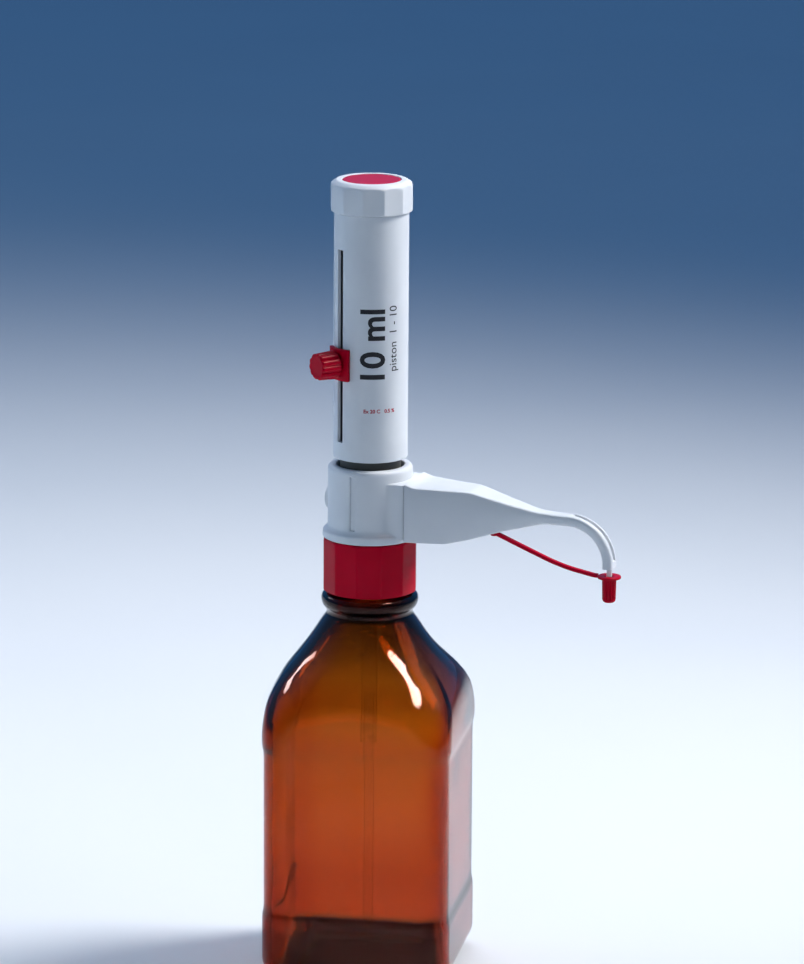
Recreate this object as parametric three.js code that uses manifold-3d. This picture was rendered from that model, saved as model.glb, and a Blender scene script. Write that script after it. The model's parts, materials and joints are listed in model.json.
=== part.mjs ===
// Bottle-top piston dispenser screwed on a square amber reagent bottle.
// Millimetres. +Z runs up the bottle's axis, +X along the discharge arm,
// and the origin is the centre of the face that the bottle stands on.
import * as THREE from 'three';
import { mergeVertices } from 'three/addons/utils/BufferGeometryUtils.js';
import Module from 'manifold-3d';

const wasm = await Module();
wasm.setup();

const DEG = Math.PI / 180;
const TURN = Math.PI * 2;
const GAP = 0.3;

// Bottle
const BOTTLE_HALF = 38.9;
const PANEL_HALF = 38.3;
const CORNER_RATIO = 0.27;
const BOTTLE_TURN = 10 * DEG;
const NECK_WAIST = 17.55;
const BEAD_RADIUS = 19.8;
const BEAD_Z = 155.8;
const SQUARE_FROM_Z = 99;
const ROUND_FROM_Z = 143.4;
const NECK_ROOT = 14.6;
const NECK_BORE = 11.8;
const MOUTH_Z = 176.8;
const THREAD_PITCH = 4;
const THREAD_TURNS = 1.75;
const THREAD_Z = 163;

// Screw collar
const COLLAR_CORNER = 19.4;
const COLLAR_BORE = 16.4;
const COLLAR_Z0 = 159.6;
const COLLAR_Z1 = 181.6;
const COLLAR_PHASE = 3.6 * DEG;
const FACETS = 12;

// Valve block
const BLOCK_RADIUS = 17.2;
const BLOCK_Z0 = 181.9;
const BLOCK_Z1 = 211.9;
const FLANGE_RADIUS = 19;
const FLANGE_Z1 = 185.7;
const RECESS_RADIUS = 13.6;
const RECESS_Z = 187;
const SPIGOT_RADIUS = 12.6;
const SPIGOT_Z = 178.3;
const STEM_RADIUS = 6;
const ARM_ROOT_X = 18.8;
const ARM_ROOT_HALF = 12;
const PORT_Z = 196;
const PORT_RADIUS = 3.8;

// Cylinder, piston and guide
const BORE_RADIUS = 7.12;
const GLASS_RADIUS = 9;
const GUIDE_RADIUS = 12.4;
const GUIDE_BORE = 10.8;
const GUIDE_Z1 = 297.7;
const STOP_Z0 = 298;
const ROD_RADIUS = 5;
const VALVE_TOP_Z = 199.5;

// Sleeve, cap and selector
const SLEEVE_RADIUS = 15.05;
const SLEEVE_BORE = 13.7;
const SLEEVE_Z0 = 215.1;
const SLEEVE_Z1 = 315.7;
const SLOT_Z0 = 222.4;
const SLOT_Z1 = 301.3;
const SLOT_WIDTH = 3.5;
const SLOT_AZIMUTH = -125 * DEG;
const SELECTOR_Z = 254.8;
const SADDLE_OUTER = 17.05;
const SADDLE_HALF_ANGLE = 22.5 * DEG;
const SADDLE_HALF_HEIGHT = 6.5;
const KNOB_BASE = SADDLE_OUTER + 0.4;
const KNOB_TIP = 26.7;
const KNOB_FLUTES = 9;
const STUD_RADIUS = 1;
const STUD_TIP = 24;
const CAP_CORNER = 16.6;
const CAP_Z0 = 316;
const CAP_Z1 = 328.6;
const CAP_PHASE = 8.2 * DEG;
const INSERT_RADIUS = 11.75;

// Discharge arm and closure
const SPOUT_X = 85.1;
const SPOUT_CENTRE_Z = 179;
const SPOUT_OUTER = 19;
const SPOUT_INNER = 14.8;
const SPOUT_PATH = 17;
const TIP_Z = 177.6;
const TIP_X = SPOUT_X + SPOUT_PATH;
const TUBE_RADIUS = 1.1;
const CLOSURE_Z1 = 174.5;
const ANCHOR_X = 53.6;
const ANCHOR_RADIUS = 1.25;
const ANCHOR_Z0 = 187;
const ANCHOR_Z1 = 192.2;

const finish = (color, roughness, metalness = 0, opacity = 1) => new THREE.MeshStandardMaterial({
  color,
  roughness,
  metalness,
  opacity,
  transparent: opacity < 1,
});

const WHITE = finish(0xdfe4ea, 0.42);
const RED = finish(0xb3122f, 0.38);
const AMBER = finish(0x7a3208, 0.06, 0, 0.75);
const CLEAR = finish(0xe8f0f2, 0.08, 0, 0.4);
const DARK = finish(0x2a2c30, 0.45);
const PTFE = finish(0xf2f1ec, 0.5);
const CERAMIC = finish(0xefe9dc, 0.2);
const STEEL = finish(0xb9bcc0, 0.28, 1);
const RUBBER = finish(0x8a2a20, 0.7);

// ---- Geometry helpers -------------------------------------------------------------------------

// A manifold solid from a closed three.js geometry.
function solidOf(geometry) {
  const bare = new THREE.BufferGeometry();
  bare.setAttribute('position', geometry.getAttribute('position').clone());
  if (geometry.index) bare.setIndex(geometry.index.clone());
  const merged = mergeVertices(bare, 1e-4);
  const index = merged.index.array;
  const kept = [];
  for (let i = 0; i < index.length; i += 3) {
    const [a, b, c] = [index[i], index[i + 1], index[i + 2]];
    if (a !== b && b !== c && c !== a) kept.push(a, b, c);
  }
  return new wasm.Manifold(new wasm.Mesh({
    numProp: 3,
    vertProperties: new Float32Array(merged.getAttribute('position').array),
    triVerts: new Uint32Array(kept),
  }));
}

function geometryOf(solid) {
  const mesh = solid.getMesh();
  const geometry = new THREE.BufferGeometry();
  geometry.setAttribute('position', new THREE.BufferAttribute(mesh.vertProperties, 3));
  geometry.setIndex(new THREE.BufferAttribute(mesh.triVerts, 1));
  geometry.computeVertexNormals();
  return geometry;
}

// Joins the first geometry with the `joined` ones, then takes the `cut` ones away.
function combine(base, { joined = [], cut = [] }) {
  let solid = solidOf(base);
  for (const piece of joined) solid = solid.add(solidOf(piece));
  for (const piece of cut) solid = solid.subtract(solidOf(piece));
  return geometryOf(solid);
}

function common(first, second) {
  return geometryOf(solidOf(first).intersect(solidOf(second)));
}

// A solid of revolution about Z from [radius, z] points, counter-clockwise in the r-z plane.
function turned(profile, segments = 24) {
  const points = profile.map(([r, z]) => new THREE.Vector2(r, z));
  return new THREE.LatheGeometry(points, segments).rotateX(Math.PI / 2);
}

function rod(radius, z0, z1, segments = 24) {
  return turned([[0, z0], [radius, z0], [radius, z1], [0, z1]], segments);
}

function ring(inner, outer, z0, z1, segments = 24) {
  return turned([[inner, z0], [outer, z0], [outer, z1], [inner, z1], [inner, z0]], segments);
}

// Lays a piece built along +Z so that its axis runs along +X at the given height.
function alongX(geometry, z) {
  return geometry.rotateY(Math.PI / 2).translate(0, 0, z);
}

function box(x0, x1, y0, y1, z0, z1) {
  const geometry = new THREE.BoxGeometry(x1 - x0, y1 - y0, z1 - z0);
  return geometry.translate((x0 + x1) / 2, (y0 + y1) / 2, (z0 + z1) / 2);
}

function extruded(shape, depth, curveSegments = 8) {
  return new THREE.ExtrudeGeometry(shape, { depth, bevelEnabled: false, curveSegments });
}

// An x-z outline given thickness across Y, centred on y = 0.
function slab(shape, width, curveSegments = 8) {
  return extruded(shape, width, curveSegments).rotateX(Math.PI / 2).translate(0, width / 2, 0);
}

function polygon(points) {
  return new THREE.Shape(points.map(([x, y]) => new THREE.Vector2(x, y)));
}

function faceted(count, corner, z0, z1, phase) {
  const corners = Array.from({ length: count }, (_, i) => {
    const angle = phase + (i * TURN) / count;
    return [corner * Math.cos(angle), corner * Math.sin(angle)];
  });
  return extruded(polygon(corners), z1 - z0).translate(0, 0, z0);
}

// Points of an arc about (cx, cy), for use in a profile.
function arc(cx, cy, rx, ry, from, to, steps) {
  return Array.from({ length: steps + 1 }, (_, i) => {
    const angle = (from + ((to - from) * i) / steps) * DEG;
    return [cx + rx * Math.cos(angle), cy + ry * Math.sin(angle)];
  });
}

// Moves every vertex with move(x, y, z) -> [x, y, z].
function reshape(geometry, move) {
  const position = geometry.getAttribute('position');
  for (let i = 0; i < position.count; i += 1) {
    position.setXYZ(i, ...move(position.getX(i), position.getY(i), position.getZ(i)));
  }
  return geometry;
}

// A helical ridge. It is drawn straight, with the turn's angle as its length, then wound round Z.
// `root` and `crest` are radii; both ends run out to `root`.
function threadRidge(root, crest, width, z0, turns) {
  const outline = polygon([[root, -width / 2], [crest, -width / 4], [crest, width / 4], [root, width / 2]]);
  const angle = turns * TURN;
  const steps = Math.round(turns * 20);
  const straight = new THREE.ExtrudeGeometry(outline, { depth: angle, steps, bevelEnabled: false });
  const runOut = 25 * DEG;
  return reshape(straight, (radius, rise, length) => {
    const turn = angle - length;
    const height = Math.min(1, turn / runOut, length / runOut);
    const r = root + (radius - root) * Math.max(height, 0.15);
    const z = z0 + rise + (THREAD_PITCH * turn) / TURN;
    return [r * Math.cos(turn), r * Math.sin(turn), z];
  });
}

// A round bar swept along a curve.
function swept(curve, radius, steps, sides = 8) {
  const outline = polygon(arc(0, 0, radius, radius, 0, 360 - 360 / sides, sides - 1));
  return new THREE.ExtrudeGeometry(outline, { steps, bevelEnabled: false, extrudePath: curve });
}

// ---- Bottle -----------------------------------------------------------------------------------

// Point of a rounded square of half-width 1 at a given turn: a quarter of each side's turn is
// spent on either straight half and the rest on the corner.
function roundedSquare(angle) {
  const side = Math.floor(angle / (TURN / 4) + 1e-6);
  const share = angle / (TURN / 4) - side;
  const flat = 1 - CORNER_RATIO;
  let point = [1, (flat * share) / 0.25];
  if (share >= 0.75) point = [flat * (1 - (share - 0.75) / 0.25), 1];
  else if (share > 0.25) {
    const bend = ((share - 0.25) / 0.5) * (TURN / 4);
    point = [flat + CORNER_RATIO * Math.cos(bend), flat + CORNER_RATIO * Math.sin(bend)];
  }
  const [c, s] = [Math.cos((side * TURN) / 4), Math.sin((side * TURN) / 4)];
  return [point[0] * c - point[1] * s, point[0] * s + point[1] * c];
}

// Turns a round lathe form into one that is square low down and round at the neck.
function squareBelowNeck(geometry) {
  return reshape(geometry, (x, y, z) => {
    const radius = Math.hypot(x, y);
    if (radius < 1e-6) return [0, 0, z];
    const share = THREE.MathUtils.smoothstep(ROUND_FROM_Z - z, 0, ROUND_FROM_Z - SQUARE_FROM_Z);
    const angle = (Math.atan2(y, x) + TURN) % TURN;
    const [sx, sy] = roundedSquare(angle);
    return [radius * (1 - share) * (x / radius) + radius * share * sx,
      radius * (1 - share) * (y / radius) + radius * share * sy, z];
  });
}

function bottle() {
  const heel = arc(BOTTLE_HALF - 10, 10, 10, 10, -90, 0, 4);
  const outside = [
    [0, 0], ...heel, [BOTTLE_HALF, 28.5], [PANEL_HALF, 30.5], [PANEL_HALF, 97], [BOTTLE_HALF, 99],
    [39.4, 106], [39.4, 112], [38.5, 118], [36.9, 122], [34.6, 126], [31.6, 130], [28.4, 134],
    [22.7, 142], [20.1, 146], [18, 149], [NECK_WAIST, 150.3],
    [19.1, 153], [BEAD_RADIUS, BEAD_Z], [19.2, 157.9], [17.6, 159], [NECK_ROOT, 159.3],
    [NECK_ROOT, MOUTH_Z - 0.8], [NECK_ROOT - 0.8, MOUTH_Z],
  ];
  const inside = [
    [NECK_BORE, MOUTH_Z], [NECK_BORE, 154], [14.6, 149], [19.8, 141.6], [25.6, 133.2], [31.6, 125],
    [35.4, 117], [36.3, 109], [35.6, 96], [35.6, 12], [33.6, 7], [28, 4.6], [0, 4],
  ];
  const body = squareBelowNeck(turned([...outside, ...inside], 32));
  const thread = threadRidge(NECK_ROOT - 0.4, 16, 1.9, THREAD_Z, THREAD_TURNS);
  return combine(body, { joined: [thread] }).rotateZ(BOTTLE_TURN);
}

// ---- Screw collar, its ring and the bottle seal -------------------------------------------------

function screwCollar() {
  const skin = faceted(FACETS, COLLAR_CORNER, COLLAR_Z0, COLLAR_Z1, COLLAR_PHASE);
  const chamfer = turned([[0, COLLAR_Z0], [COLLAR_CORNER + 0.2, COLLAR_Z0],
    [COLLAR_CORNER + 0.2, COLLAR_Z1 - 1], [COLLAR_CORNER - 1, COLLAR_Z1], [0, COLLAR_Z1]], 36);
  const bore = rod(COLLAR_BORE, COLLAR_Z0 - 1, COLLAR_Z1 - 2, 32);
  const throat = rod(SPIGOT_RADIUS + 0.6, COLLAR_Z0, COLLAR_Z1 + 1, 24);
  const shell = combine(common(skin, chamfer), { cut: [bore, throat] });
  const rise = THREAD_Z - THREAD_PITCH / 2;
  const ridge = threadRidge(COLLAR_BORE + 0.4, 15.1, 1.6, rise, THREAD_TURNS);
  return combine(shell, { joined: [ridge] });
}

const sealWasher = () => ring(11.2, 14.4, MOUTH_Z + GAP, SPIGOT_Z - GAP, 24);
const retainingRing = () => ring(SPIGOT_RADIUS - 0.2, 14.4, SPIGOT_Z, SPIGOT_Z + 1, 24);

// ---- Valve block and what it holds --------------------------------------------------------------

function valveBlock() {
  const outside = [
    [0, SPIGOT_Z], [SPIGOT_RADIUS - 0.6, SPIGOT_Z], [SPIGOT_RADIUS - 0.6, SPIGOT_Z + 1.3],
    [SPIGOT_RADIUS, SPIGOT_Z + 1.3], [SPIGOT_RADIUS, BLOCK_Z0], [FLANGE_RADIUS - 0.4, BLOCK_Z0],
    [FLANGE_RADIUS, BLOCK_Z0 + 0.4], [FLANGE_RADIUS, FLANGE_Z1 - 0.6], [FLANGE_RADIUS - 0.8, FLANGE_Z1],
    [BLOCK_RADIUS + 0.2, FLANGE_Z1 + 0.9], [BLOCK_RADIUS, FLANGE_Z1 + 2],
    [BLOCK_RADIUS, BLOCK_Z1 - 1.6], [BLOCK_RADIUS - 0.5, BLOCK_Z1 - 0.5],
    [BLOCK_RADIUS - 1.6, BLOCK_Z1], [0, BLOCK_Z1],
  ];
  const root = polygon([[0, BLOCK_Z0 + 1.2], [ARM_ROOT_X - GAP, BLOCK_Z0 + 1.2],
    [ARM_ROOT_X - GAP, 207.4], [14.5, 208.9], [0, 208.9]]);
  const boss = alongX(rod(5.6, -BLOCK_RADIUS + 0.2, -10, 20), PORT_Z + 0.5);
  return combine(turned(outside, 36), {
    joined: [slab(root, 2 * ARM_ROOT_HALF), boss],
    cut: [
      rod(RECESS_RADIUS, RECESS_Z, BLOCK_Z1 + 1, 32),
      rod(STEM_RADIUS + GAP, SPIGOT_Z - 1, RECESS_Z + 1, 20),
      alongX(rod(PORT_RADIUS, 10, ARM_ROOT_X + 1, 16), PORT_Z),
      alongX(rod(3.4, -BLOCK_RADIUS - 1, -10, 16), PORT_Z + 0.5),
    ],
  });
}

function valveBody() {
  const outside = [[0, 179.8], [STEM_RADIUS, 179.8], [STEM_RADIUS, RECESS_Z + GAP],
    [GUIDE_BORE - GAP, RECESS_Z + GAP], [GUIDE_BORE - GAP, VALVE_TOP_Z], [0, VALVE_TOP_Z]];
  return combine(turned(outside, 24), {
    cut: [
      rod(4.4, 179, 187.6, 16),
      rod(1.8, 187, VALVE_TOP_Z + 1, 12),
      alongX(rod(1.6, 0.5, 7, 12), PORT_Z),
      alongX(rod(3.7, 6, 12, 16), PORT_Z),
    ],
  });
}

// A valve seat ring with a 45 degree cone facing its ball, up from z0.
function valveSeat(bore, outer, z0, length) {
  const rise = (outer - bore) * 0.5;
  return turned([[bore, z0], [outer, z0], [outer, z0 + length], [bore + rise, z0 + length],
    [bore, z0 + length - rise], [bore, z0]], 16);
}

// Height of a ball of radius r over the bottom edge of a 45 degree cone that starts at `bore`.
function ballRise(r, bore) {
  return r * Math.SQRT2 - bore + 0.08;
}

function ball(radius) {
  const profile = arc(0, 0, radius, radius, -90, 90, 6);
  profile[0][0] = 0;
  profile[6][0] = 0;
  return turned(profile, 12);
}

function suctionNozzle() {
  return turned([[1.4, 166], [2.2, 166], [2.6, 168], [2.3, 168.6], [2.6, 171], [2.4, 176],
    [5.6, 176], [5.6, 177.8], [4.1, 179.4], [4.1, 180.6], [1.4, 180.6], [1.4, 166]], 16);
}

const fillingTubeUpper = () => ring(2.9, 3.4, 95, 175.6, 20);

// The lower tube ends in a slanted inlet so that it cannot seal itself on the bottle's floor.
function fillingTubeLower() {
  const slant = box(-6, 6, -6, 6, -8, 0).rotateY(35 * DEG).translate(0, 0, 13);
  return combine(ring(1.8, 2.5, 10, 115, 16), { cut: [slant] });
}

function guideTube() {
  const profile = [[GUIDE_BORE, RECESS_Z + GAP], [RECESS_RADIUS - GAP, RECESS_Z + GAP],
    [RECESS_RADIUS - GAP, RECESS_Z + 3], [GUIDE_RADIUS, RECESS_Z + 3], [GUIDE_RADIUS, GUIDE_Z1],
    [GUIDE_BORE, GUIDE_Z1], [GUIDE_BORE, RECESS_Z + GAP]];
  return combine(turned(profile, 32), { cut: [alongX(rod(PORT_RADIUS, 8, 16, 16), PORT_Z)] });
}

// The stop ring is relieved where the selector's clamp nut runs past it.
function guideStopRing() {
  const relief = box(GUIDE_RADIUS - 0.2, 16, -5.4, 5.4, STOP_Z0 - 1, STOP_Z0 + 5);
  return combine(ring(GUIDE_BORE, 13.35, STOP_Z0, STOP_Z0 + 3.7, 32), { cut: [relief] });
}

const glassCylinder = () => ring(BORE_RADIUS, GLASS_RADIUS, 201.1, 282, 24);
const cylinderSeal = () => ring(BORE_RADIUS, GLASS_RADIUS + 0.6, 199.8, 200.8, 24);
const cylinderRetainer = () => turned([[7.7, 282.3], [10.4, 282.3], [10.4, 286], [7.7, 286],
  [7.7, 282.3]], 24);

// ---- Piston unit --------------------------------------------------------------------------------

// The sleeve is drawn with its slot facing +X; the group that holds it turns it into place.
function outerSleeve() {
  const tube = turned([[SLEEVE_BORE, SLEEVE_Z0], [SLEEVE_RADIUS - 0.3, SLEEVE_Z0],
    [SLEEVE_RADIUS, SLEEVE_Z0 + 0.3], [SLEEVE_RADIUS, SLEEVE_Z1], [SLEEVE_BORE, SLEEVE_Z1],
    [SLEEVE_BORE, SLEEVE_Z0]], 40);
  const slot = box(10, 20, -SLOT_WIDTH / 2, SLOT_WIDTH / 2, SLOT_Z0, SLOT_Z1);
  const teeth = [];
  const pitch = 2.85;
  for (let z = 238.4; z < 294; z += pitch) {
    teeth.push(box(14.6, SLEEVE_RADIUS + 0.15, -1.6, 1.6, z, z + pitch / 2).rotateZ(-26 * DEG));
  }
  return combine(tube, { joined: teeth, cut: [slot] });
}

function headCap() {
  const skin = faceted(FACETS, CAP_CORNER, CAP_Z0, CAP_Z1, CAP_PHASE);
  const envelope = turned([[0, CAP_Z0], [CAP_CORNER - 1.1, CAP_Z0], [CAP_CORNER, CAP_Z0 + 1.1],
    [CAP_CORNER, CAP_Z1 - 2.2], [CAP_CORNER - 1.7, CAP_Z1 - 0.5], [CAP_CORNER - 2.8, CAP_Z1],
    [0, CAP_Z1]], 36);
  const plug = rod(SLEEVE_BORE - GAP, 310, CAP_Z0 + 0.5, 32);
  return combine(common(skin, envelope), {
    joined: [plug],
    cut: [
      rod(INSERT_RADIUS + 0.2, CAP_Z1 - 1.6, CAP_Z1 + 1, 32),
      rod(3.9, 323.4, CAP_Z1, 16),
      rod(2.4, 315, CAP_Z1, 12),
      rod(12.1, 309, 321, 24),
    ],
  });
}

const capInsert = () => turned([[0, CAP_Z1 - 1.3], [INSERT_RADIUS, CAP_Z1 - 1.3],
  [INSERT_RADIUS, CAP_Z1 - 0.3], [INSERT_RADIUS - 0.3, CAP_Z1 - 0.05], [0, CAP_Z1 - 0.05]], 32);

function pistonMount() {
  const outside = [[0, 305.8], [13.2, 305.8], [13.2, 309.2], [6.5, 310.4], [6.5, 320.7], [0, 320.7]];
  return combine(turned(outside, 24), {
    cut: [rod(ROD_RADIUS + GAP, 305, 309.5, 16), rod(2.2, 311, 321, 12)],
  });
}

const pistonRod = () => rod(ROD_RADIUS, 210.3, 309.1, 16);
const mountScrew = () => turned([[0, 312], [1.9, 312], [1.9, 323.7], [3.5, 323.7], [3.5, 326.7],
  [0, 326.7]], 16);

const pistonHead = () => turned([[0, 201.2], [6.2, 201.2], [6.9, 203], [6.9, 204], [5.4, 204],
  [5.4, 206.2], [6.9, 206.2], [6.9, 210], [0, 210]], 20);
const pistonSeal = () => ring(5.7, 7.05, 204.3, 205.9, 20);

// ---- Volume selector, drawn facing +X -----------------------------------------------------------

// A saddle curved round the sleeve, with two tongues that run in the slot.
function selectorCarriage() {
  const reach = 20;
  const side = reach * Math.tan(SADDLE_HALF_ANGLE);
  const sector = extruded(polygon([[0, 0], [reach, -side], [reach, side]]), 2 * SADDLE_HALF_HEIGHT);
  const shell = ring(SLEEVE_RADIUS + GAP, SADDLE_OUTER, -SADDLE_HALF_HEIGHT, SADDLE_HALF_HEIGHT, 60);
  const tongue = (z0, z1) => box(SLEEVE_BORE + 0.2, SLEEVE_RADIUS + 0.6, -1.45, 1.45, z0, z1);
  return combine(common(shell, sector.translate(0, 0, -SADDLE_HALF_HEIGHT)), {
    joined: [tongue(3.2, 5.5), tongue(-5.5, -3.2)],
    cut: [alongX(rod(STUD_RADIUS + 0.7, 10, reach, 16), 0)],
  }).translate(0, 0, SELECTOR_Z);
}

// A curved plate behind the slot with a tapped square boss that stands in the slot.
function clampNut() {
  const shell = ring(12.9, 13.35, -5, 5, 60);
  const sector = box(10, 15, -4, 4, -6, 6);
  const boss = box(13, 15, -1.4, 1.4, -2.4, 2.4);
  return combine(common(shell, sector), {
    joined: [boss],
    cut: [alongX(rod(STUD_RADIUS + 0.25, 10, 20, 16), 0)],
  }).translate(0, 0, SELECTOR_Z);
}

const threadedStud = () => alongX(rod(STUD_RADIUS, 13.2, STUD_TIP, 12), SELECTOR_Z);

function selectorKnob() {
  const profile = [[0, KNOB_BASE], [4.9, KNOB_BASE], [5.9, KNOB_BASE + 0.8], [5.5, KNOB_TIP - 0.7],
    [4.9, KNOB_TIP], [0, KNOB_TIP]];
  const fluted = reshape(turned(profile, 4 * KNOB_FLUTES), (x, y, z) => {
    const flute = 1 + 0.03 * Math.cos(KNOB_FLUTES * Math.atan2(y, x));
    return [x * flute, y * flute, z];
  });
  const bore = rod(STUD_RADIUS + GAP, KNOB_BASE - 1, STUD_TIP + GAP, 12);
  return alongX(combine(fluted, { cut: [bore] }), SELECTOR_Z);
}

// ---- Discharge arm and its contents ---------------------------------------------------------------

function armSide() {
  const shape = new THREE.Shape();
  shape.moveTo(ARM_ROOT_X, 183.1);
  shape.lineTo(35.5, 183.3);
  shape.lineTo(44.5, 185.4);
  shape.lineTo(57.6, 189.5);
  shape.lineTo(74.6, 193.8);
  shape.lineTo(SPOUT_X, 193.8);
  shape.absarc(SPOUT_X, SPOUT_CENTRE_Z, SPOUT_INNER, 90 * DEG, 0, true);
  shape.lineTo(SPOUT_X + SPOUT_INNER, TIP_Z);
  shape.lineTo(SPOUT_X + SPOUT_OUTER, TIP_Z);
  shape.absarc(SPOUT_X, SPOUT_CENTRE_Z, SPOUT_OUTER, 0, 90 * DEG, false);
  shape.lineTo(71.8, 198.7);
  shape.lineTo(58.9, 201.7);
  shape.lineTo(45.2, 205.3);
  shape.lineTo(22.5, 205.8);
  shape.lineTo(ARM_ROOT_X, 207.3);
  return shape;
}

// Half-width of the arm along its length, as a plan outline.
function armPlan() {
  const side = [[ARM_ROOT_X, ARM_ROOT_HALF], [22, ARM_ROOT_HALF], [45, 7.9], [59, 5.8], [72, 3.6],
    [106, 3.4]];
  const far = side.map(([x, y]) => [x, -y]).reverse();
  return extruded(polygon([...far, ...side].reverse()), 60).translate(0, 0, 160);
}

// A round bar along the discharge tube's route: level from x0, round the spout, then down to z1.
function alongDischarge(radius, x0, z1, sides) {
  const bends = 8;
  const last = bends + 2;
  const rings = Array.from({ length: last + 1 }, (_, k) => [radius, k]);
  return reshape(turned([[0, 0], ...rings, [0, last]], sides), (x, y, k) => {
    const bend = THREE.MathUtils.clamp(Math.round(k) - 1, 0, bends) * (90 / bends) * DEG;
    const [s, c] = [Math.sin(bend), Math.cos(bend)];
    const centreX = k < 0.5 ? x0 : SPOUT_X + SPOUT_PATH * s;
    const centreZ = k > last - 0.5 ? z1 : SPOUT_CENTRE_Z + SPOUT_PATH * c;
    return [centreX - x * s, y, centreZ - x * c];
  });
}

function dischargeArm() {
  const solid = common(slab(armSide(), 2 * ARM_ROOT_HALF, 10), armPlan());
  const hollow = polygon([[ARM_ROOT_X - 1, 185.2], [34.5, 185.2], [43, 187.4], [50, 190.2],
    [50, 201.6], [44.5, 203.2], [22, 203.6], [ARM_ROOT_X - 1, 204.4]]);
  const taper = extruded(polygon([[17, -9.8], [22, -9.8], [51, -4.8], [51, 4.8], [22, 9.8], [17, 9.8]]),
    60).translate(0, 0, 160);
  const groove = new THREE.Shape();
  groove.absarc(SPOUT_X, SPOUT_CENTRE_Z, SPOUT_OUTER - 0.3, 3 * DEG, 84 * DEG, false);
  groove.absarc(SPOUT_X, SPOUT_CENTRE_Z, SPOUT_OUTER + 2, 84 * DEG, 3 * DEG, true);
  return combine(solid, {
    cut: [
      common(slab(hollow, 24), taper),
      alongDischarge(TUBE_RADIUS + 0.3, 30, TIP_Z - 2, 12),
      slab(groove, 2.6, 10),
      rod(FLANGE_RADIUS + GAP, 180, FLANGE_Z1 + GAP, 48),
      rod(ANCHOR_RADIUS + GAP, ANCHOR_Z0 - 1, ANCHOR_Z1 + GAP, 12).translate(ANCHOR_X, 0, 0),
    ],
  });
}

function dischargeTube() {
  return combine(alongDischarge(TUBE_RADIUS, 25.4, 169, 10), {
    joined: [alongX(rod(2.3, 24.4, 25.6, 16), PORT_Z)],
    cut: [alongDischarge(0.65, 24, 168, 8)],
  });
}

const outletNipple = () => alongX(turned([[1.2, 6.3], [3.4, 6.3], [3.4, 24], [2.3, 24],
  [2.3, 7.6], [1.2, 7.6], [1.2, 6.3]], 20), PORT_Z);

const dischargeNut = () => alongX(combine(faceted(6, 5.8, 19.4, 30, 0), {
  cut: [rod(3.7, 19, 27, 20), rod(1.5, 26, 31, 12)],
}), PORT_Z);

function dischargeSpring() {
  class Helix extends THREE.Curve {
    getPoint(t, target = new THREE.Vector3()) {
      const angle = 5 * TURN * t;
      return target.set(12.3 + 11.4 * t, 1.5 * Math.cos(angle), PORT_Z + 1.5 * Math.sin(angle));
    }
  }
  return swept(new Helix(), 0.28, 50, 4);
}

// ---- Closure cap, strap and vent plug -------------------------------------------------------------

function closureCap() {
  const z = CLOSURE_Z1;
  return turned([[0, z - 10.9], [1.9, z - 10.9], [2.55, z - 10.2], [2.73, z - 1.1], [4.75, z - 1.1],
    [4.75, z], [1.5, z], [1.5, z - 9.2], [0, z - 9.2]], 20).translate(TIP_X, 0, 0);
}

const strapAnchor = () => rod(ANCHOR_RADIUS, ANCHOR_Z0, ANCHOR_Z1, 12).translate(ANCHOR_X, 0, 0);

function capStrap() {
  const route = [[ANCHOR_X + 1.6, 187.2], [63.7, 183.7], [70.6, 181], [77.4, 178.4], [84.3, 176.3],
    [91.2, 174.9], [TIP_X - 5.05, 174]];
  const curve = new THREE.CatmullRomCurve3(route.map(([x, z]) => new THREE.Vector3(x, 0, z)));
  const outline = polygon([[-0.8, -1.2], [0.8, -1.2], [0.8, 1.2], [-0.8, 1.2]]);
  return new THREE.ExtrudeGeometry(outline, { steps: 18, bevelEnabled: false, extrudePath: curve });
}

const ventCap = () => alongX(turned([[0, -18.5], [3.9, -18.5], [4.75, -18.1], [4.75, -17.3],
  [3, -17.3], [3, -14.2], [0, -14.2]], 20), PORT_Z + 0.5);

// ---- Scene graph ------------------------------------------------------------------------------------

function addPieces(parent, pieces) {
  for (const [name, geometry, material] of pieces) {
    const mesh = new THREE.Mesh(geometry, material);
    mesh.name = name;
    parent.add(mesh);
  }
}

function ballAt(radius, x, z) {
  return ball(radius).translate(x, 0, z);
}

const dispenser = new THREE.Group();
const reservoir = new THREE.Group();
const head = new THREE.Group();
const pistonUnit = new THREE.Group();
const slotSide = new THREE.Group();
slotSide.rotation.z = SLOT_AZIMUTH;
dispenser.add(reservoir, head, pistonUnit, slotSide);

addPieces(reservoir, [
  ['bottle', bottle(), AMBER],
  ['screw_collar', screwCollar(), RED],
  ['seal_washer', sealWasher(), RUBBER],
  ['collar_retaining_ring', retainingRing(), WHITE],
]);

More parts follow.
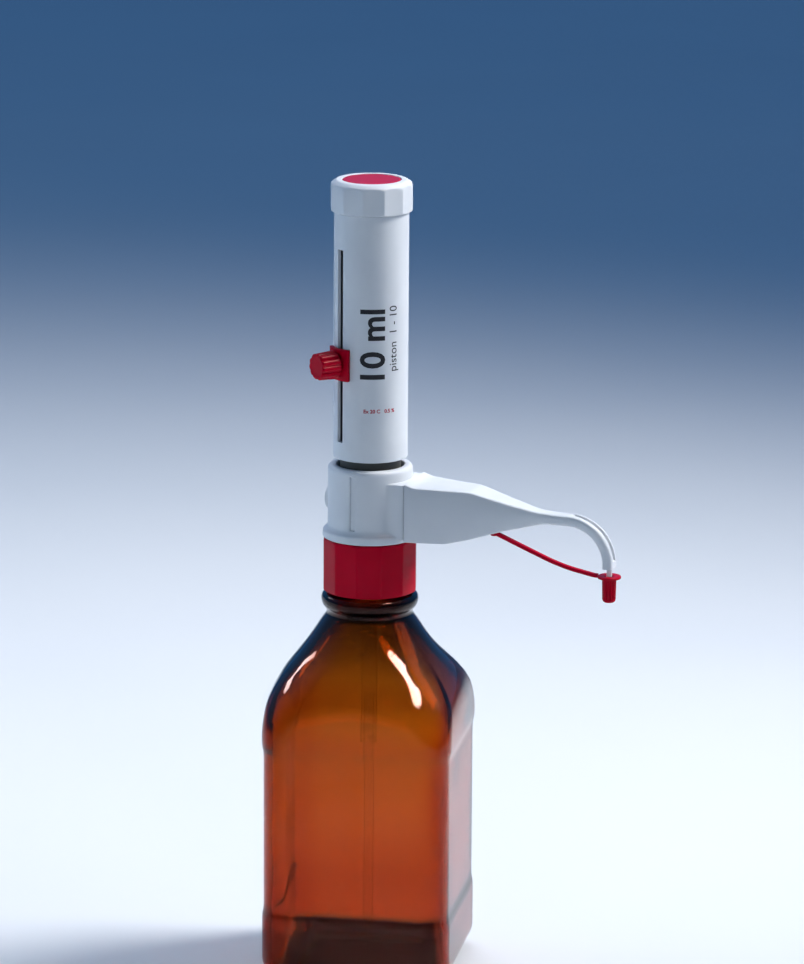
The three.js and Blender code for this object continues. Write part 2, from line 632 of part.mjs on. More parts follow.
addPieces(head, [
  ['valve_block', valveBlock(), WHITE],
  ['valve_body', valveBody(), PTFE],
  ['filling_valve_seat', valveSeat(1.2, 4.1, 181, 2.6), PTFE],
  ['filling_ball', ballAt(1.8, 0, 182.15 + ballRise(1.8, 1.2)), CERAMIC],
  ['suction_nozzle', suctionNozzle(), PTFE],
  ['filling_tube_upper', fillingTubeUpper(), CLEAR],
  ['filling_tube_lower', fillingTubeLower(), CLEAR],
  ['guide_tube', guideTube(), DARK],
  ['glass_cylinder', glassCylinder(), CLEAR],
  ['cylinder_seal_ring', cylinderSeal(), PTFE],
  ['cylinder_retainer', cylinderRetainer(), PTFE],
  ['discharge_arm', dischargeArm(), WHITE],
  ['outlet_nipple', outletNipple(), PTFE],
  ['discharge_valve_seat', alongX(valveSeat(0.9, 2.1, 7.9, 2.1), PORT_Z), PTFE],
  ['discharge_ball', ballAt(1.5, 9.4 + ballRise(1.5, 0.9), PORT_Z), CERAMIC],
  ['discharge_spring', dischargeSpring(), STEEL],
  ['discharge_nut', dischargeNut(), WHITE],
  ['discharge_tube', dischargeTube(), CLEAR],
  ['strap_anchor', strapAnchor(), RED],
  ['cap_strap', capStrap(), RED],
  ['closure_cap', closureCap(), RED],
  ['vent_cap', ventCap(), WHITE],
]);

addPieces(pistonUnit, [
  ['head_cap', headCap(), WHITE],
  ['cap_insert', capInsert(), RED],
  ['piston_mount', pistonMount(), DARK],
  ['mount_screw', mountScrew(), STEEL],
  ['piston_rod', pistonRod(), STEEL],
  ['piston_head', pistonHead(), PTFE],
  ['piston_seal_ring', pistonSeal(), PTFE],
]);

addPieces(slotSide, [
  ['outer_sleeve', outerSleeve(), WHITE],
  ['guide_stop_ring', guideStopRing(), DARK],
  ['selector_carriage', selectorCarriage(), RED],
  ['clamp_nut', clampNut(), DARK],
  ['threaded_stud', threadedStud(), STEEL],
  ['selector_knob', selectorKnob(), RED],
]);

export default dispenser;
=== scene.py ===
"""Looks of the bottle-top piston dispenser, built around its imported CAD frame.

Shapes are worked out in millimetres and stored in metres. Z runs up the bottle's axis and X along the
discharge arm.
"""
import json
import math

import bmesh
import bpy
from mathutils import Matrix, Vector, noise


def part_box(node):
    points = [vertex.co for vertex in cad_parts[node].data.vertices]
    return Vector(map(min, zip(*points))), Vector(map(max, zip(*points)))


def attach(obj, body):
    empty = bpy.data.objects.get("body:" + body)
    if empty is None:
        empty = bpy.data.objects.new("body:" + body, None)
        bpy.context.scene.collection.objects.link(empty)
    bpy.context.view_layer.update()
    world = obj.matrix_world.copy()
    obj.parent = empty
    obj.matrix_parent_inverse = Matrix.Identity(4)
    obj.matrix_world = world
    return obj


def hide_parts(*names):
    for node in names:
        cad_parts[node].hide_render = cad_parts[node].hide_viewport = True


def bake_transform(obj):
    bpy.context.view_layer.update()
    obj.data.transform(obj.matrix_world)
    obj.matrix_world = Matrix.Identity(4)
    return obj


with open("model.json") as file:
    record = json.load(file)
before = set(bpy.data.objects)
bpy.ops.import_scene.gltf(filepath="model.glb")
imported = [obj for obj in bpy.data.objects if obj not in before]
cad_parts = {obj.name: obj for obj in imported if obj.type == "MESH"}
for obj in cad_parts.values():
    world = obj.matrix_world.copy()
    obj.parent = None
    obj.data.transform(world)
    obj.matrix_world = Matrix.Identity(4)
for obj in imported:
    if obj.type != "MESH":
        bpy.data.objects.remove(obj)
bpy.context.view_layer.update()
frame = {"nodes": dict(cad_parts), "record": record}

MM = 0.001
TURN = 2 * math.pi


# ---- Camera ---------------------------------------------------------------------------------------

CAMERA_TARGET_Z = 0.204
CAMERA_DISTANCE = 2.227
CAMERA_AZIMUTH = math.radians(-70)
CAMERA_ELEVATION = math.radians(13.65)
CAMERA_SIDE_STEP = 0.0128
CAMERA_ROLL = math.radians(0.35)
CAMERA_LENS = 205.4

to_camera = Vector((math.cos(CAMERA_AZIMUTH) * math.cos(CAMERA_ELEVATION),
                    math.sin(CAMERA_AZIMUTH) * math.cos(CAMERA_ELEVATION),
                    math.sin(CAMERA_ELEVATION)))
to_right = Vector((-math.sin(CAMERA_AZIMUTH), math.cos(CAMERA_AZIMUTH), 0))


def add_camera():
    data = bpy.data.cameras.new("photo_camera")
    data.lens = CAMERA_LENS
    data.sensor_width = 36
    data.clip_start = 0.05
    data.clip_end = 50
    camera = bpy.data.objects.new("photo_camera", data)
    target = Vector((0, 0, CAMERA_TARGET_Z)) + to_right * CAMERA_SIDE_STEP
    place = target + to_camera * CAMERA_DISTANCE
    aim = (-to_camera).to_track_quat("-Z", "Y").to_matrix().to_4x4()
    camera.matrix_world = Matrix.Translation(place) @ aim @ Matrix.Rotation(CAMERA_ROLL, 4, "Z")
    bpy.context.scene.collection.objects.link(camera)
    bpy.context.scene.camera = camera
    bpy.context.scene.view_settings.view_transform = "Standard"


# ---- Small helpers --------------------------------------------------------------------------------

def span(node):
    """Lowest and highest corner of a CAD node, in millimetres."""
    low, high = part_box(node)
    return low / MM, high / MM


def middle(node):
    low, high = span(node)
    return (low + high) / 2


def smooth_step(low, high, value):
    share = min(max((value - low) / (high - low), 0), 1)
    return share * share * (3 - 2 * share)


def bump_between(low, high, soft, value):
    """1 between low and high, fading to 0 over soft on either side."""
    return smooth_step(low - soft, low, value) * (1 - smooth_step(high, high + soft, value))


def soft_min(a, b, blend):
    """The smaller of two lengths, with the change from one to the other rounded over blend."""
    share = min(max(0.5 + 0.5 * (b - a) / blend, 0), 1)
    return b + (a - b) * share - blend * share * (1 - share)


def softened(corners, steps=5):
    """A closed outline whose [x, y, radius] corners are rounded. A corner without radius stays sharp."""
    points = []
    for i, corner in enumerate(corners):
        here = Vector(corner[:2])
        if len(corner) < 3:
            points.append(here)
            continue
        back = Vector(corners[i - 1][:2]) - here
        on = Vector(corners[(i + 1) % len(corners)][:2]) - here
        start = here + back.normalized() * min(corner[2], back.length * 0.49)
        end = here + on.normalized() * min(corner[2], on.length * 0.49)
        for k in range(steps + 1):
            t = k / steps
            points.append(start * (1 - t) ** 2 + here * 2 * t * (1 - t) + end * t * t)
    return points


def flowing(points, steps=6):
    """A smooth curve through the given points, of any dimension."""
    curve = []
    vectors = [Vector(p) for p in points]
    padded = [vectors[0] * 2 - vectors[1], *vectors, vectors[-1] * 2 - vectors[-2]]
    for a, b, c, d in zip(padded, padded[1:], padded[2:], padded[3:]):
        for k in range(steps):
            t = k / steps
            curve.append(0.5 * (b * 2 + (c - a) * t + (a * 2 - b * 5 + c * 4 - d) * t * t
                                + (b * 3 - a - c * 3 + d) * t ** 3))
    curve.append(vectors[-1])
    return curve


def between(knots, x):
    """Height at x of the straight lines through [x, height] knots."""
    if x <= knots[0][0]:
        return knots[0][1]
    for (x0, y0), (x1, y1) in zip(knots, knots[1:]):
        if x <= x1:
            return y0 + (y1 - y0) * (x - x0) / (x1 - x0)
    return knots[-1][1]


def eased(knots, x, reach):
    """Like between, with the corners rounded over reach on either side."""
    shares = (-1, -0.5, 0, 0.5, 1)
    return sum(between(knots, x + reach * share) for share in shares) / len(shares)


# ---- Meshes ---------------------------------------------------------------------------------------

def loft(rings, closed=False):
    """A closed mesh from rings of points. A ring of one point is a pole. An open loft gets flat ends."""
    bm = bmesh.new()
    rows = [[bm.verts.new(Vector(p) * MM) for p in ring] for ring in rings]
    pairs = list(zip(rows, rows[1:]))
    if closed:
        pairs.append((rows[-1], rows[0]))
    for a, b in pairs:
        count = max(len(a), len(b))
        for i in range(count):
            j = (i + 1) % count
            quad = [a[i % len(a)], a[j % len(a)], b[j % len(b)], b[i % len(b)]]
            face = list(dict.fromkeys(quad))
            if len(face) > 2:
                bm.faces.new(face)
    if not closed:
        for row in (rows[0], rows[-1]):
            if len(row) > 1:
                bm.faces.new(row)
    bmesh.ops.recalc_face_normals(bm, faces=bm.faces)
    return bm


def even_angles(count, start=0.0):
    return [start + TURN * i / count for i in range(count)]


def revolved(profile, angles, shape=None):
    """A closed solid from [radius, z] points turned about Z. shape(angle, radius, z) may return a new
    [radius, z] for a point."""
    rings = []
    for radius, z in profile:
        if radius < 1e-6:
            rings.append([(0, 0, z)])
            continue
        ring = []
        for angle in angles:
            r, height = shape(angle, radius, z) if shape else (radius, z)
            ring.append((r * math.cos(angle), r * math.sin(angle), height))
        rings.append(ring)
    on_axis = len(rings[0]) == 1 or len(rings[-1]) == 1
    return loft(rings, closed=not on_axis)


def as_object(name, bm, sharp=35):
    """An object from a bmesh, smooth where its faces meet at less than the sharp angle."""
    mesh = bpy.data.meshes.new(name)
    bm.to_mesh(mesh)
    bm.free()
    mesh.shade_smooth()
    mesh.set_sharp_from_angle(angle=math.radians(sharp))
    obj = bpy.data.objects.new(name, mesh)
    bpy.context.scene.collection.objects.link(obj)
    return obj


def apply_modifiers(obj, sharp=35):
    graph = bpy.context.evaluated_depsgraph_get()
    mesh = bpy.data.meshes.new_from_object(obj.evaluated_get(graph))
    obj.modifiers.clear()
    obj.data = mesh
    mesh.shade_smooth()
    mesh.set_sharp_from_angle(angle=math.radians(sharp))


def boolean(obj, tool_mesh, operation, sharp=35):
    tool = as_object("tool", tool_mesh)
    modifier = obj.modifiers.new("boolean", "BOOLEAN")
    modifier.operation = operation
    modifier.solver = "EXACT"
    modifier.object = tool
    apply_modifiers(obj, sharp)
    bpy.data.objects.remove(tool)


def block(low, high, bevel=0.0, segments=3):
    """A box between two corners, with rounded edges."""
    bm = bmesh.new()
    size = Vector(high) - Vector(low)
    centre = (Vector(high) + Vector(low)) / 2
    bmesh.ops.create_cube(bm, size=MM, matrix=Matrix.Diagonal((*size, 1)))
    if bevel:
        bmesh.ops.bevel(bm, geom=list(bm.edges), offset=bevel * MM, segments=segments, profile=0.5,
                        affect="EDGES", clamp_overlap=True)
    bmesh.ops.translate(bm, verts=bm.verts, vec=centre * MM)
    return bm


def turned_to(bm, direction, height):
    """Lays a mesh built along +Z so that it points along a level direction at the given height."""
    aim = Vector(direction).to_track_quat("Z", "X").to_matrix().to_4x4()
    bm.transform(Matrix.Translation((0, 0, height * MM)) @ aim)
    return bm


def finished(obj, material, body, slot, *nodes):
    """Gives a piece its material, its body and the CAD nodes that it stands for."""
    obj.data.materials.clear()
    obj.data.materials.append(material)
    if body:
        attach(obj, body)
    if nodes:
        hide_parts(*nodes)
    return obj


# ---- Materials ------------------------------------------------------------------------------------

class Surface:
    """A material under construction: its Principled shader and the noise that feeds it."""

    def __init__(self, name, **values):
        self.material = bpy.data.materials.new(name)
        self.material.use_nodes = True
        self.nodes = self.material.node_tree.nodes
        self.links = self.material.node_tree.links
        self.shader = self.nodes["Principled BSDF"]
        self.output = self.nodes["Material Output"]
        self.place = self.nodes.new("ShaderNodeTexCoord").outputs["Object"]
        for socket, value in values.items():
            self.shader.inputs[socket.replace("_", " ")].default_value = value

    def noise(self, scale, detail=4.0, roughness=0.5, stretch=(1, 1, 1)):
        """Noise with scale features to the metre."""
        mapping = self.nodes.new("ShaderNodeMapping")
        mapping.inputs["Scale"].default_value = stretch
        self.links.new(self.place, mapping.inputs["Vector"])
        texture = self.nodes.new("ShaderNodeTexNoise")
        texture.inputs["Scale"].default_value = scale
        texture.inputs["Detail"].default_value = detail
        texture.inputs["Roughness"].default_value = roughness
        self.links.new(mapping.outputs["Vector"], texture.inputs["Vector"])
        return texture.outputs["Fac"]

    def spread(self, value, low, high):
        """Noise stretched to run from low to high."""
        node = self.nodes.new("ShaderNodeMapRange")
        node.inputs["From Min"].default_value = 0.3
        node.inputs["From Max"].default_value = 0.7
        node.inputs["To Min"].default_value = low
        node.inputs["To Max"].default_value = high
        self.links.new(value, node.inputs["Value"])
        return node.outputs["Result"]

    def colours(self, value, *stops):
        """The colour ramp from stop to stop as value goes from low to high."""
        ramp = self.nodes.new("ShaderNodeValToRGB")
        band = ramp.color_ramp
        places = [0.3 + 0.4 * i / (len(stops) - 1) for i in range(len(stops))]
        while len(band.elements) < len(stops):
            band.elements.new(0.5)
        for element, place, colour in zip(band.elements, places, stops):
            element.position = place
            element.color = (*colour, 1)
        self.links.new(value, ramp.inputs["Fac"])
        self.links.new(ramp.outputs["Color"], self.shader.inputs["Base Color"])

    def rough(self, value, low, high):
        self.links.new(self.spread(value, low, high), self.shader.inputs["Roughness"])

    def bump(self, *layers):
        """Layers of (height, depth in millimetres, strength), one over the other."""
        normal = None
        for height, depth, strength in layers:
            node = self.nodes.new("ShaderNodeBump")
            node.inputs["Strength"].default_value = strength
            node.inputs["Distance"].default_value = depth * MM
            self.links.new(height, node.inputs["Height"])
            if normal:
                self.links.new(normal, node.inputs["Normal"])
            normal = node.outputs["Normal"]
        self.links.new(normal, self.shader.inputs["Normal"])


def moulded(name, dark, light, roughness, grain=2600, grain_depth=0.02, sink=0.05, **values):
    """Moulded plastic: a fine grain, slow sink marks and a colour that drifts a little."""
    surface = Surface(name, **values)
    surface.colours(surface.noise(38, 3), dark, light)
    fine = surface.noise(grain, 6, 0.6)
    surface.rough(surface.noise(180, 5), roughness - 0.05, roughness + 0.05)
    surface.bump((surface.noise(55, 2), sink, 0.35), (fine, grain_depth, 0.4))
    return surface.material


def white_plastic():
    return moulded("white_plastic", (0.60, 0.62, 0.65), (0.66, 0.68, 0.70), 0.44, IOR=1.46,
                   Subsurface_Weight=0.12, Subsurface_Radius=(1.0, 0.9, 0.8), Subsurface_Scale=0.0015)


def red_plastic():
    return moulded("red_plastic", (0.40, 0.0, 0.012), (0.47, 0.001, 0.018), 0.2,
                   Specular_IOR_Level=0.08)


def dark_plastic():
    return moulded("dark_plastic", (0.050, 0.048, 0.040), (0.075, 0.072, 0.058), 0.4)


def fluoropolymer():
    return moulded("fluoropolymer", (0.78, 0.77, 0.73), (0.86, 0.85, 0.82), 0.5, grain=900,
                   Subsurface_Weight=0.3, Subsurface_Scale=0.002)


def washer_rubber():
    return moulded("washer_rubber", (0.10, 0.02, 0.015), (0.16, 0.035, 0.025), 0.75, grain=1500,
                   grain_depth=0.05)


def ceramic():
    return moulded("ceramic", (0.80, 0.76, 0.68), (0.88, 0.85, 0.78), 0.18, grain=4000,
                   grain_depth=0.004)


def steel():
    surface = Surface("steel", Metallic=1.0)
    turned = surface.noise(900, 4, 0.6, stretch=(1, 1, 0.04))
    surface.colours(turned, (0.50, 0.51, 0.53), (0.66, 0.67, 0.69))
    surface.rough(turned, 0.2, 0.34)
    surface.bump((turned, 0.01, 0.3))
    return surface.material


def black_ink():
    surface = Surface("black_ink", IOR=1.45)
    surface.colours(surface.noise(700, 5), (0.006, 0.006, 0.008), (0.014, 0.014, 0.017))
    surface.rough(surface.noise(900, 4), 0.42, 0.55)
    return surface.material


def red_ink():
    surface = Surface("red_ink", IOR=1.45)
    surface.colours(surface.noise(700, 5), (0.40, 0.006, 0.02), (0.48, 0.01, 0.03))
    surface.rough(surface.noise(900, 4), 0.42, 0.55)
    return surface.material


def clear_tube():
    surface = Surface("clear_tube", IOR=1.36, Transmission_Weight=0.45)
    surface.colours(surface.noise(300, 3), (0.86, 0.90, 0.92), (0.93, 0.95, 0.96))
    surface.rough(surface.noise(400, 4), 0.08, 0.2)
    surface.bump((surface.noise(250, 3, stretch=(1, 1, 0.1)), 0.03, 0.3))
    return surface.material


def suction_tube():
    """The filling tubes' polymer, which hardly bends light."""
    surface = Surface("suction_tube", IOR=1.05, Transmission_Weight=1.0)
    surface.colours(surface.noise(300, 3), (0.95, 0.95, 0.94), (0.98, 0.98, 0.97))
    surface.rough(surface.noise(400, 4), 0.0, 0.05)
    surface.bump((surface.noise(250, 3, stretch=(1, 1, 0.1)), 0.03, 0.3))
    return surface.material


def clear_glass():
    surface = Surface("clear_glass", IOR=1.47, Transmission_Weight=1.0)
    surface.colours(surface.noise(60, 2), (0.96, 0.98, 0.98), (0.99, 1.0, 1.0))
    surface.rough(surface.noise(200, 3), 0.0, 0.03)
    surface.bump((surface.noise(50, 2), 0.03, 0.3))
    return surface.material


AMBER_DENSITY = 950.0


# Tint of the glass by height in metres, with painted shade and painted light in it: darker at the thick base
# for a painted contact shadow under the bottle, darker at the neck for painted shade under the collar, and
# olive on the shoulder for painted cool light from behind.
AMBER_TINTS_AND_PAINTED_SHADE = (
    (0.002, (0.28, 0.24, 0.42)),
    (0.005, (0.50, 0.36, 0.56)),
    (0.009, (0.98, 0.60, 0.60)),
    (0.035, (0.90, 0.53, 0.60)),
    (0.077, (0.94, 0.66, 0.60)),
    (0.098, (0.91, 0.78, 0.60)),
    (0.110, (0.98, 1.00, 0.70)),
    (0.123, (0.66, 0.72, 0.60)),
    (0.137, (0.48, 0.54, 0.60)),
    (0.154, (0.22, 0.30, 0.50)),
)


def amber_glass():
    surface = Surface("amber_glass", IOR=1.52, Transmission_Weight=1.0,
                      Specular_Tint=(0.60, 0.36, 0.30, 1))
    height = surface.nodes.new("ShaderNodeSeparateXYZ")
    surface.links.new(surface.place, height.inputs["Vector"])
    # Base colour by height, which carries the painted shade at the base and the neck and the painted cool
    # light on the shoulder.
    ramp = surface.nodes.new("ShaderNodeValToRGB")
    band = ramp.color_ramp.elements
    while len(band) < len(AMBER_TINTS_AND_PAINTED_SHADE):
        band.new(0.5)
    for element, (z, tint) in zip(band, AMBER_TINTS_AND_PAINTED_SHADE):
        element.position = z
        element.color = (*tint, 1)
    surface.links.new(height.outputs["Z"], ramp.inputs["Fac"])
    surface.links.new(ramp.outputs["Color"], surface.shader.inputs["Base Color"])
    surface.rough(surface.noise(90, 4), 0.03, 0.05)
    waves = surface.noise(26, 2, stretch=(1, 1, 0.45))
    surface.bump((waves, 0.25, 0.3), (surface.noise(140, 3), 0.02, 0.3))
    tint = surface.nodes.new("ShaderNodeVolumeAbsorption")
    tint.inputs["Color"].default_value = (0.85, 0.579, 0.0, 1)
    tint.inputs["Density"].default_value = AMBER_DENSITY
    surface.links.new(tint.outputs["Volume"], surface.output.inputs["Volume"])
    return surface.material


WHITE = white_plastic()
RED = red_plastic()
DARK = dark_plastic()
SOFT_WHITE = fluoropolymer()
RUBBER = washer_rubber()
CERAMIC = ceramic()
STEEL = steel()
TUBE = clear_tube()
SUCTION_TUBE = suction_tube()
GLASS = clear_glass()
AMBER = amber_glass()
BLACK_INK = black_ink()
RED_INK = red_ink()
SLOT_MATERIALS = {
    "amber_glass": AMBER,
    "clear_glass": GLASS,
    "clear_tube": TUBE,
    "white_plastic": WHITE,
    "red_plastic": RED,
    "dark_plastic": DARK,
    "fluoropolymer": SOFT_WHITE,
    "ceramic": CERAMIC,
    "steel": STEEL,
    "washer_rubber": RUBBER,
}


def dress_cad_nodes():
    """Every CAD node that stays gets the procedural material of its slot."""
    for part in frame["record"]["subparts"]:
        mesh = frame["nodes"][part["node"]].data
        mesh.materials.clear()
        mesh.materials.append(SLOT_MATERIALS[part["material_slot"]])


# ---- Bottle ---------------------------------------------------------------------------------------

BOTTLE_TURN = math.radians(10)
BOTTLE_HALF = 38.85
PANEL_HALF = 38.25
CORNER_SHARE = 0.27
HEEL_BEND = 10
SQUARE_FROM_Z = 99
ROUND_FROM_Z = 143.4
WALL = 3.1
NECK_ROOT = 14.6
NECK_BORE = 11.8
THREAD_PITCH = 4
THREAD_Z = 163
THREAD_TURNS = 1.75


def rounded_square(angle):
    """Point at a turn of a rounded square of half-width 1: the corners take half of every side's turn."""
    side = math.floor(angle / (TURN / 4) + 1e-6)
    share = angle / (TURN / 4) - side
    flat = 1 - CORNER_SHARE
    if share <= 0.25:
        x, y = 1, flat * share / 0.25
    elif share >= 0.75:
        x, y = flat * (1 - share) / 0.25, 1
    else:
        bend = (share - 0.25) / 0.5 * TURN / 4
        x = flat + CORNER_SHARE * math.cos(bend)
        y = flat + CORNER_SHARE * math.sin(bend)
    turn = side * TURN / 4
    return x * math.cos(turn) - y * math.sin(turn), x * math.sin(turn) + y * math.cos(turn)


def thread_height(angle, z, z_start, turns):
    """0 to 1: how much of a helical ridge stands at this angle and height."""
    height = 0.0
    for lap in range(int(turns) + 1):
        turned = angle + lap * TURN
        centre = z_start + THREAD_PITCH * turned / TURN
        ends = bump_between(math.radians(25), (turns * TURN) - math.radians(25), math.radians(25), turned)
        height = max(height, ends * (1 - smooth_step(0.35, 1.15, abs(z - centre))))
    return height


def bottle_outside(mouth_z):
    """[half-width, z] up the outside, from the middle of the base to the mouth."""
    heel = [(BOTTLE_HALF - HEEL_BEND + HEEL_BEND * math.sin(a), HEEL_BEND - HEEL_BEND * math.cos(a))
            for a in [math.radians(9 * i) for i in range(1, 11)]]
    panel = softened([(BOTTLE_HALF, 12), (BOTTLE_HALF, 28, 2.5), (PANEL_HALF, 30.8, 2.5),
                      (PANEL_HALF, 96.7, 2.5), (BOTTLE_HALF, 99.4, 2.5), (BOTTLE_HALF + 0.3, 104)])[1:-1]
    shoulder = flowing([(39.15, 104), (39.26, 109), (39.15, 114), (38.45, 118), (36.9, 122), (34.6, 126),
                        (31.6, 130), (28.4, 134), (25.4, 138), (22.66, 142), (20.07, 146), (18.2, 148.8),
                        (17.6, 150.4), (18.1, 152), (19.3, 153.6), (19.78, 155.8), (19.3, 157.6),
                        (17.9, 158.7)], 4)
    column = [(PANEL_HALF, 34 + 7 * i) for i in range(9)]
    low = [p for p in panel if p[1] < 40]
    high = [p for p in panel if p[1] > 90]
    base = [(0, 1.6), (12, 1.5), (20, 1.2), (25, 0.5), (27.6, 0)]
    neck = [(15.6, 159.1), (NECK_ROOT, 159.9)]
    neck += [(NECK_ROOT, 160.4 + 0.36 * i) for i in range(40)]
    lip = softened([(NECK_ROOT, mouth_z - 2), (NECK_ROOT, mouth_z, 0.9), (NECK_BORE, mouth_z, 0.9),
                    (NECK_BORE, mouth_z - 2)])
    return [*base, *heel, (BOTTLE_HALF, 18), *low, *column, *high, *shoulder, *neck, *lip[1:-1]]


def bottle_inside():
    """[half-width, z] down the inside, from below the lip to the middle of the floor."""
    drop = flowing([(NECK_BORE, 156), (12.2, 151.5), (14.9, 147.2), (19.3, 141), (24.8, 133.4),
                    (31.2, 125), (35.1, 117.2), (36.1, 108.8), (35.7, 98)], 4)
    wall = [(BOTTLE_HALF - WALL, 90 - 8 * i) for i in range(9)]
    floor = softened([(BOTTLE_HALF - WALL, 22), (BOTTLE_HALF - WALL, 2.9, 4.8), (12, 3.6)], 8)[1:-1]
    return [(NECK_BORE, 168), (NECK_BORE, 162), *drop, *wall, *floor, (12, 3.6), (0, 4.1)]


def bottle_point(angle, half, z, inside):
    """Half-width and height turned into a place on the wall, square low down and round at the neck."""
    share = 1 - smooth_step(SQUARE_FROM_Z, ROUND_FROM_Z, z)
    if not inside and THREAD_Z - 2 < z < THREAD_Z + 10:
        half += 1.3 * thread_height(angle, z, THREAD_Z, THREAD_TURNS)
    if inside and 8 < z < 150:
        swell = noise.noise(Vector((math.cos(angle) * 1.6, math.sin(angle) * 1.6, z / 26)))
        half += 0.45 * swell
    sx, sy = rounded_square(angle)
    x = half * ((1 - share) * math.cos(angle) + share * sx)
    y = half * ((1 - share) * math.sin(angle) + share * sy)
    return x, y, z


def make_bottle():
    mouth_z = span("bottle")[1].z
    angles = even_angles(224)
    rings = []
    for points, inside in ((bottle_outside(mouth_z), False), (bottle_inside(), True)):
        for half, z in points:
            if half < 1e-6:
                rings.append([(0, 0, z)])
            else:
                rings.append([bottle_point(angle, half, z, inside) for angle in angles])
    bm = loft(rings)
    bm.transform(Matrix.Rotation(BOTTLE_TURN, 4, "Z"))
    bottle = as_object("bottle_glass", bm, 60)
    return finished(bottle, AMBER, "bottle", "amber_glass", "bottle")


# ---- Screw collar ---------------------------------------------------------------------------------

FACETS = 12
FACET_SHARES = (0, 0.012, 0.035, 0.08, 0.18, 0.34, 0.5, 0.66, 0.82, 0.92, 0.965, 0.988)


def facet_angles(phase):
    """Angles that crowd towards the corners of a many-sided piece."""
    step = TURN / FACETS
    return [phase + step * (facet + share) for facet in range(FACETS) for share in FACET_SHARES]


def facet_radius(angle, corner, phase, hollow=0.0):
    """Radius at an angle of a many-sided outline, whose sides may be a little hollow."""
    step = TURN / FACETS
    turned = (angle - phase) % step - step / 2
    flat = corner * math.cos(step / 2) / math.cos(turned)
    return flat - hollow * (1 - (turned / (step / 2)) ** 2)


COLLAR_CORNER = 19.4
COLLAR_PHASE = math.radians(3.6)
COLLAR_BORE = 16.4


def make_collar():
    low, high = span("screw_collar")
    z0, z1 = low.z, high.z
    skirt_bottom = [(COLLAR_BORE, z0, 0.3), (COLLAR_CORNER, z0, 1.0)]
    shell = softened([*skirt_bottom, (COLLAR_CORNER, z1, 1.4), (13.2, z1, 0.3), (13.2, z1 - 2, 0.2),
                      (COLLAR_BORE, z1 - 2, 0.3)], 4)
    outside = [p for p in shell if p.x > COLLAR_BORE + 0.4 or p.y > z1 - 2.5]
    bore = [(COLLAR_BORE, z1 - 3 - 0.4 * i) for i in range(46)]

    def shape(angle, radius, z):
        if radius > COLLAR_BORE + 0.5:
            return soft_min(radius, facet_radius(angle, COLLAR_CORNER, COLLAR_PHASE), 0.25), z
        if radius > 14 and z < z1 - 2.2:
            ridge = thread_height(angle % TURN, z, THREAD_Z - THREAD_PITCH / 2, THREAD_TURNS)
            return radius - 1.25 * ridge, z
        return radius, z

    start = [(COLLAR_BORE, z0 + 0.5), (COLLAR_BORE + 0.3, z0)]
    profile = [*start, *[p for p in outside if tuple(p) not in start], *bore]
    bm = revolved(profile, facet_angles(COLLAR_PHASE), shape)
    collar = as_object("collar_shell", bm, 24)
    return finished(collar, RED, "collar", "red_plastic", "screw_collar")


# ---- Valve block ----------------------------------------------------------------------------------

BLOCK_RADIUS = 17.2
FLANGE_RADIUS = 19.3
RECESS_RADIUS = 13.6
SPIGOT_RADIUS = 12.6
STEM_BORE = 6.3
BOSS_HALF = 12.0
BOSS_X = 18.5
BOSS_TOP = 207.4
PORT_Z = 196.0
PORT_RADIUS = 3.8
VENT_Z = 196.5
STRIP_ANGLE = math.radians(-95)
STRIP_HALF_WIDTH = 1.05


def soft_max(a, b, blend):
    return -soft_min(-a, -b, blend)


def boss_radius(angle):
    """Radius of the boss's square outline at an angle, and nothing on the far side."""
    ahead, aside = math.cos(angle), abs(math.sin(angle))
    if ahead <= 0.2:
        return 0.0
    return soft_min(BOSS_X / ahead, BOSS_HALF / max(aside, 0.01), 1.2)


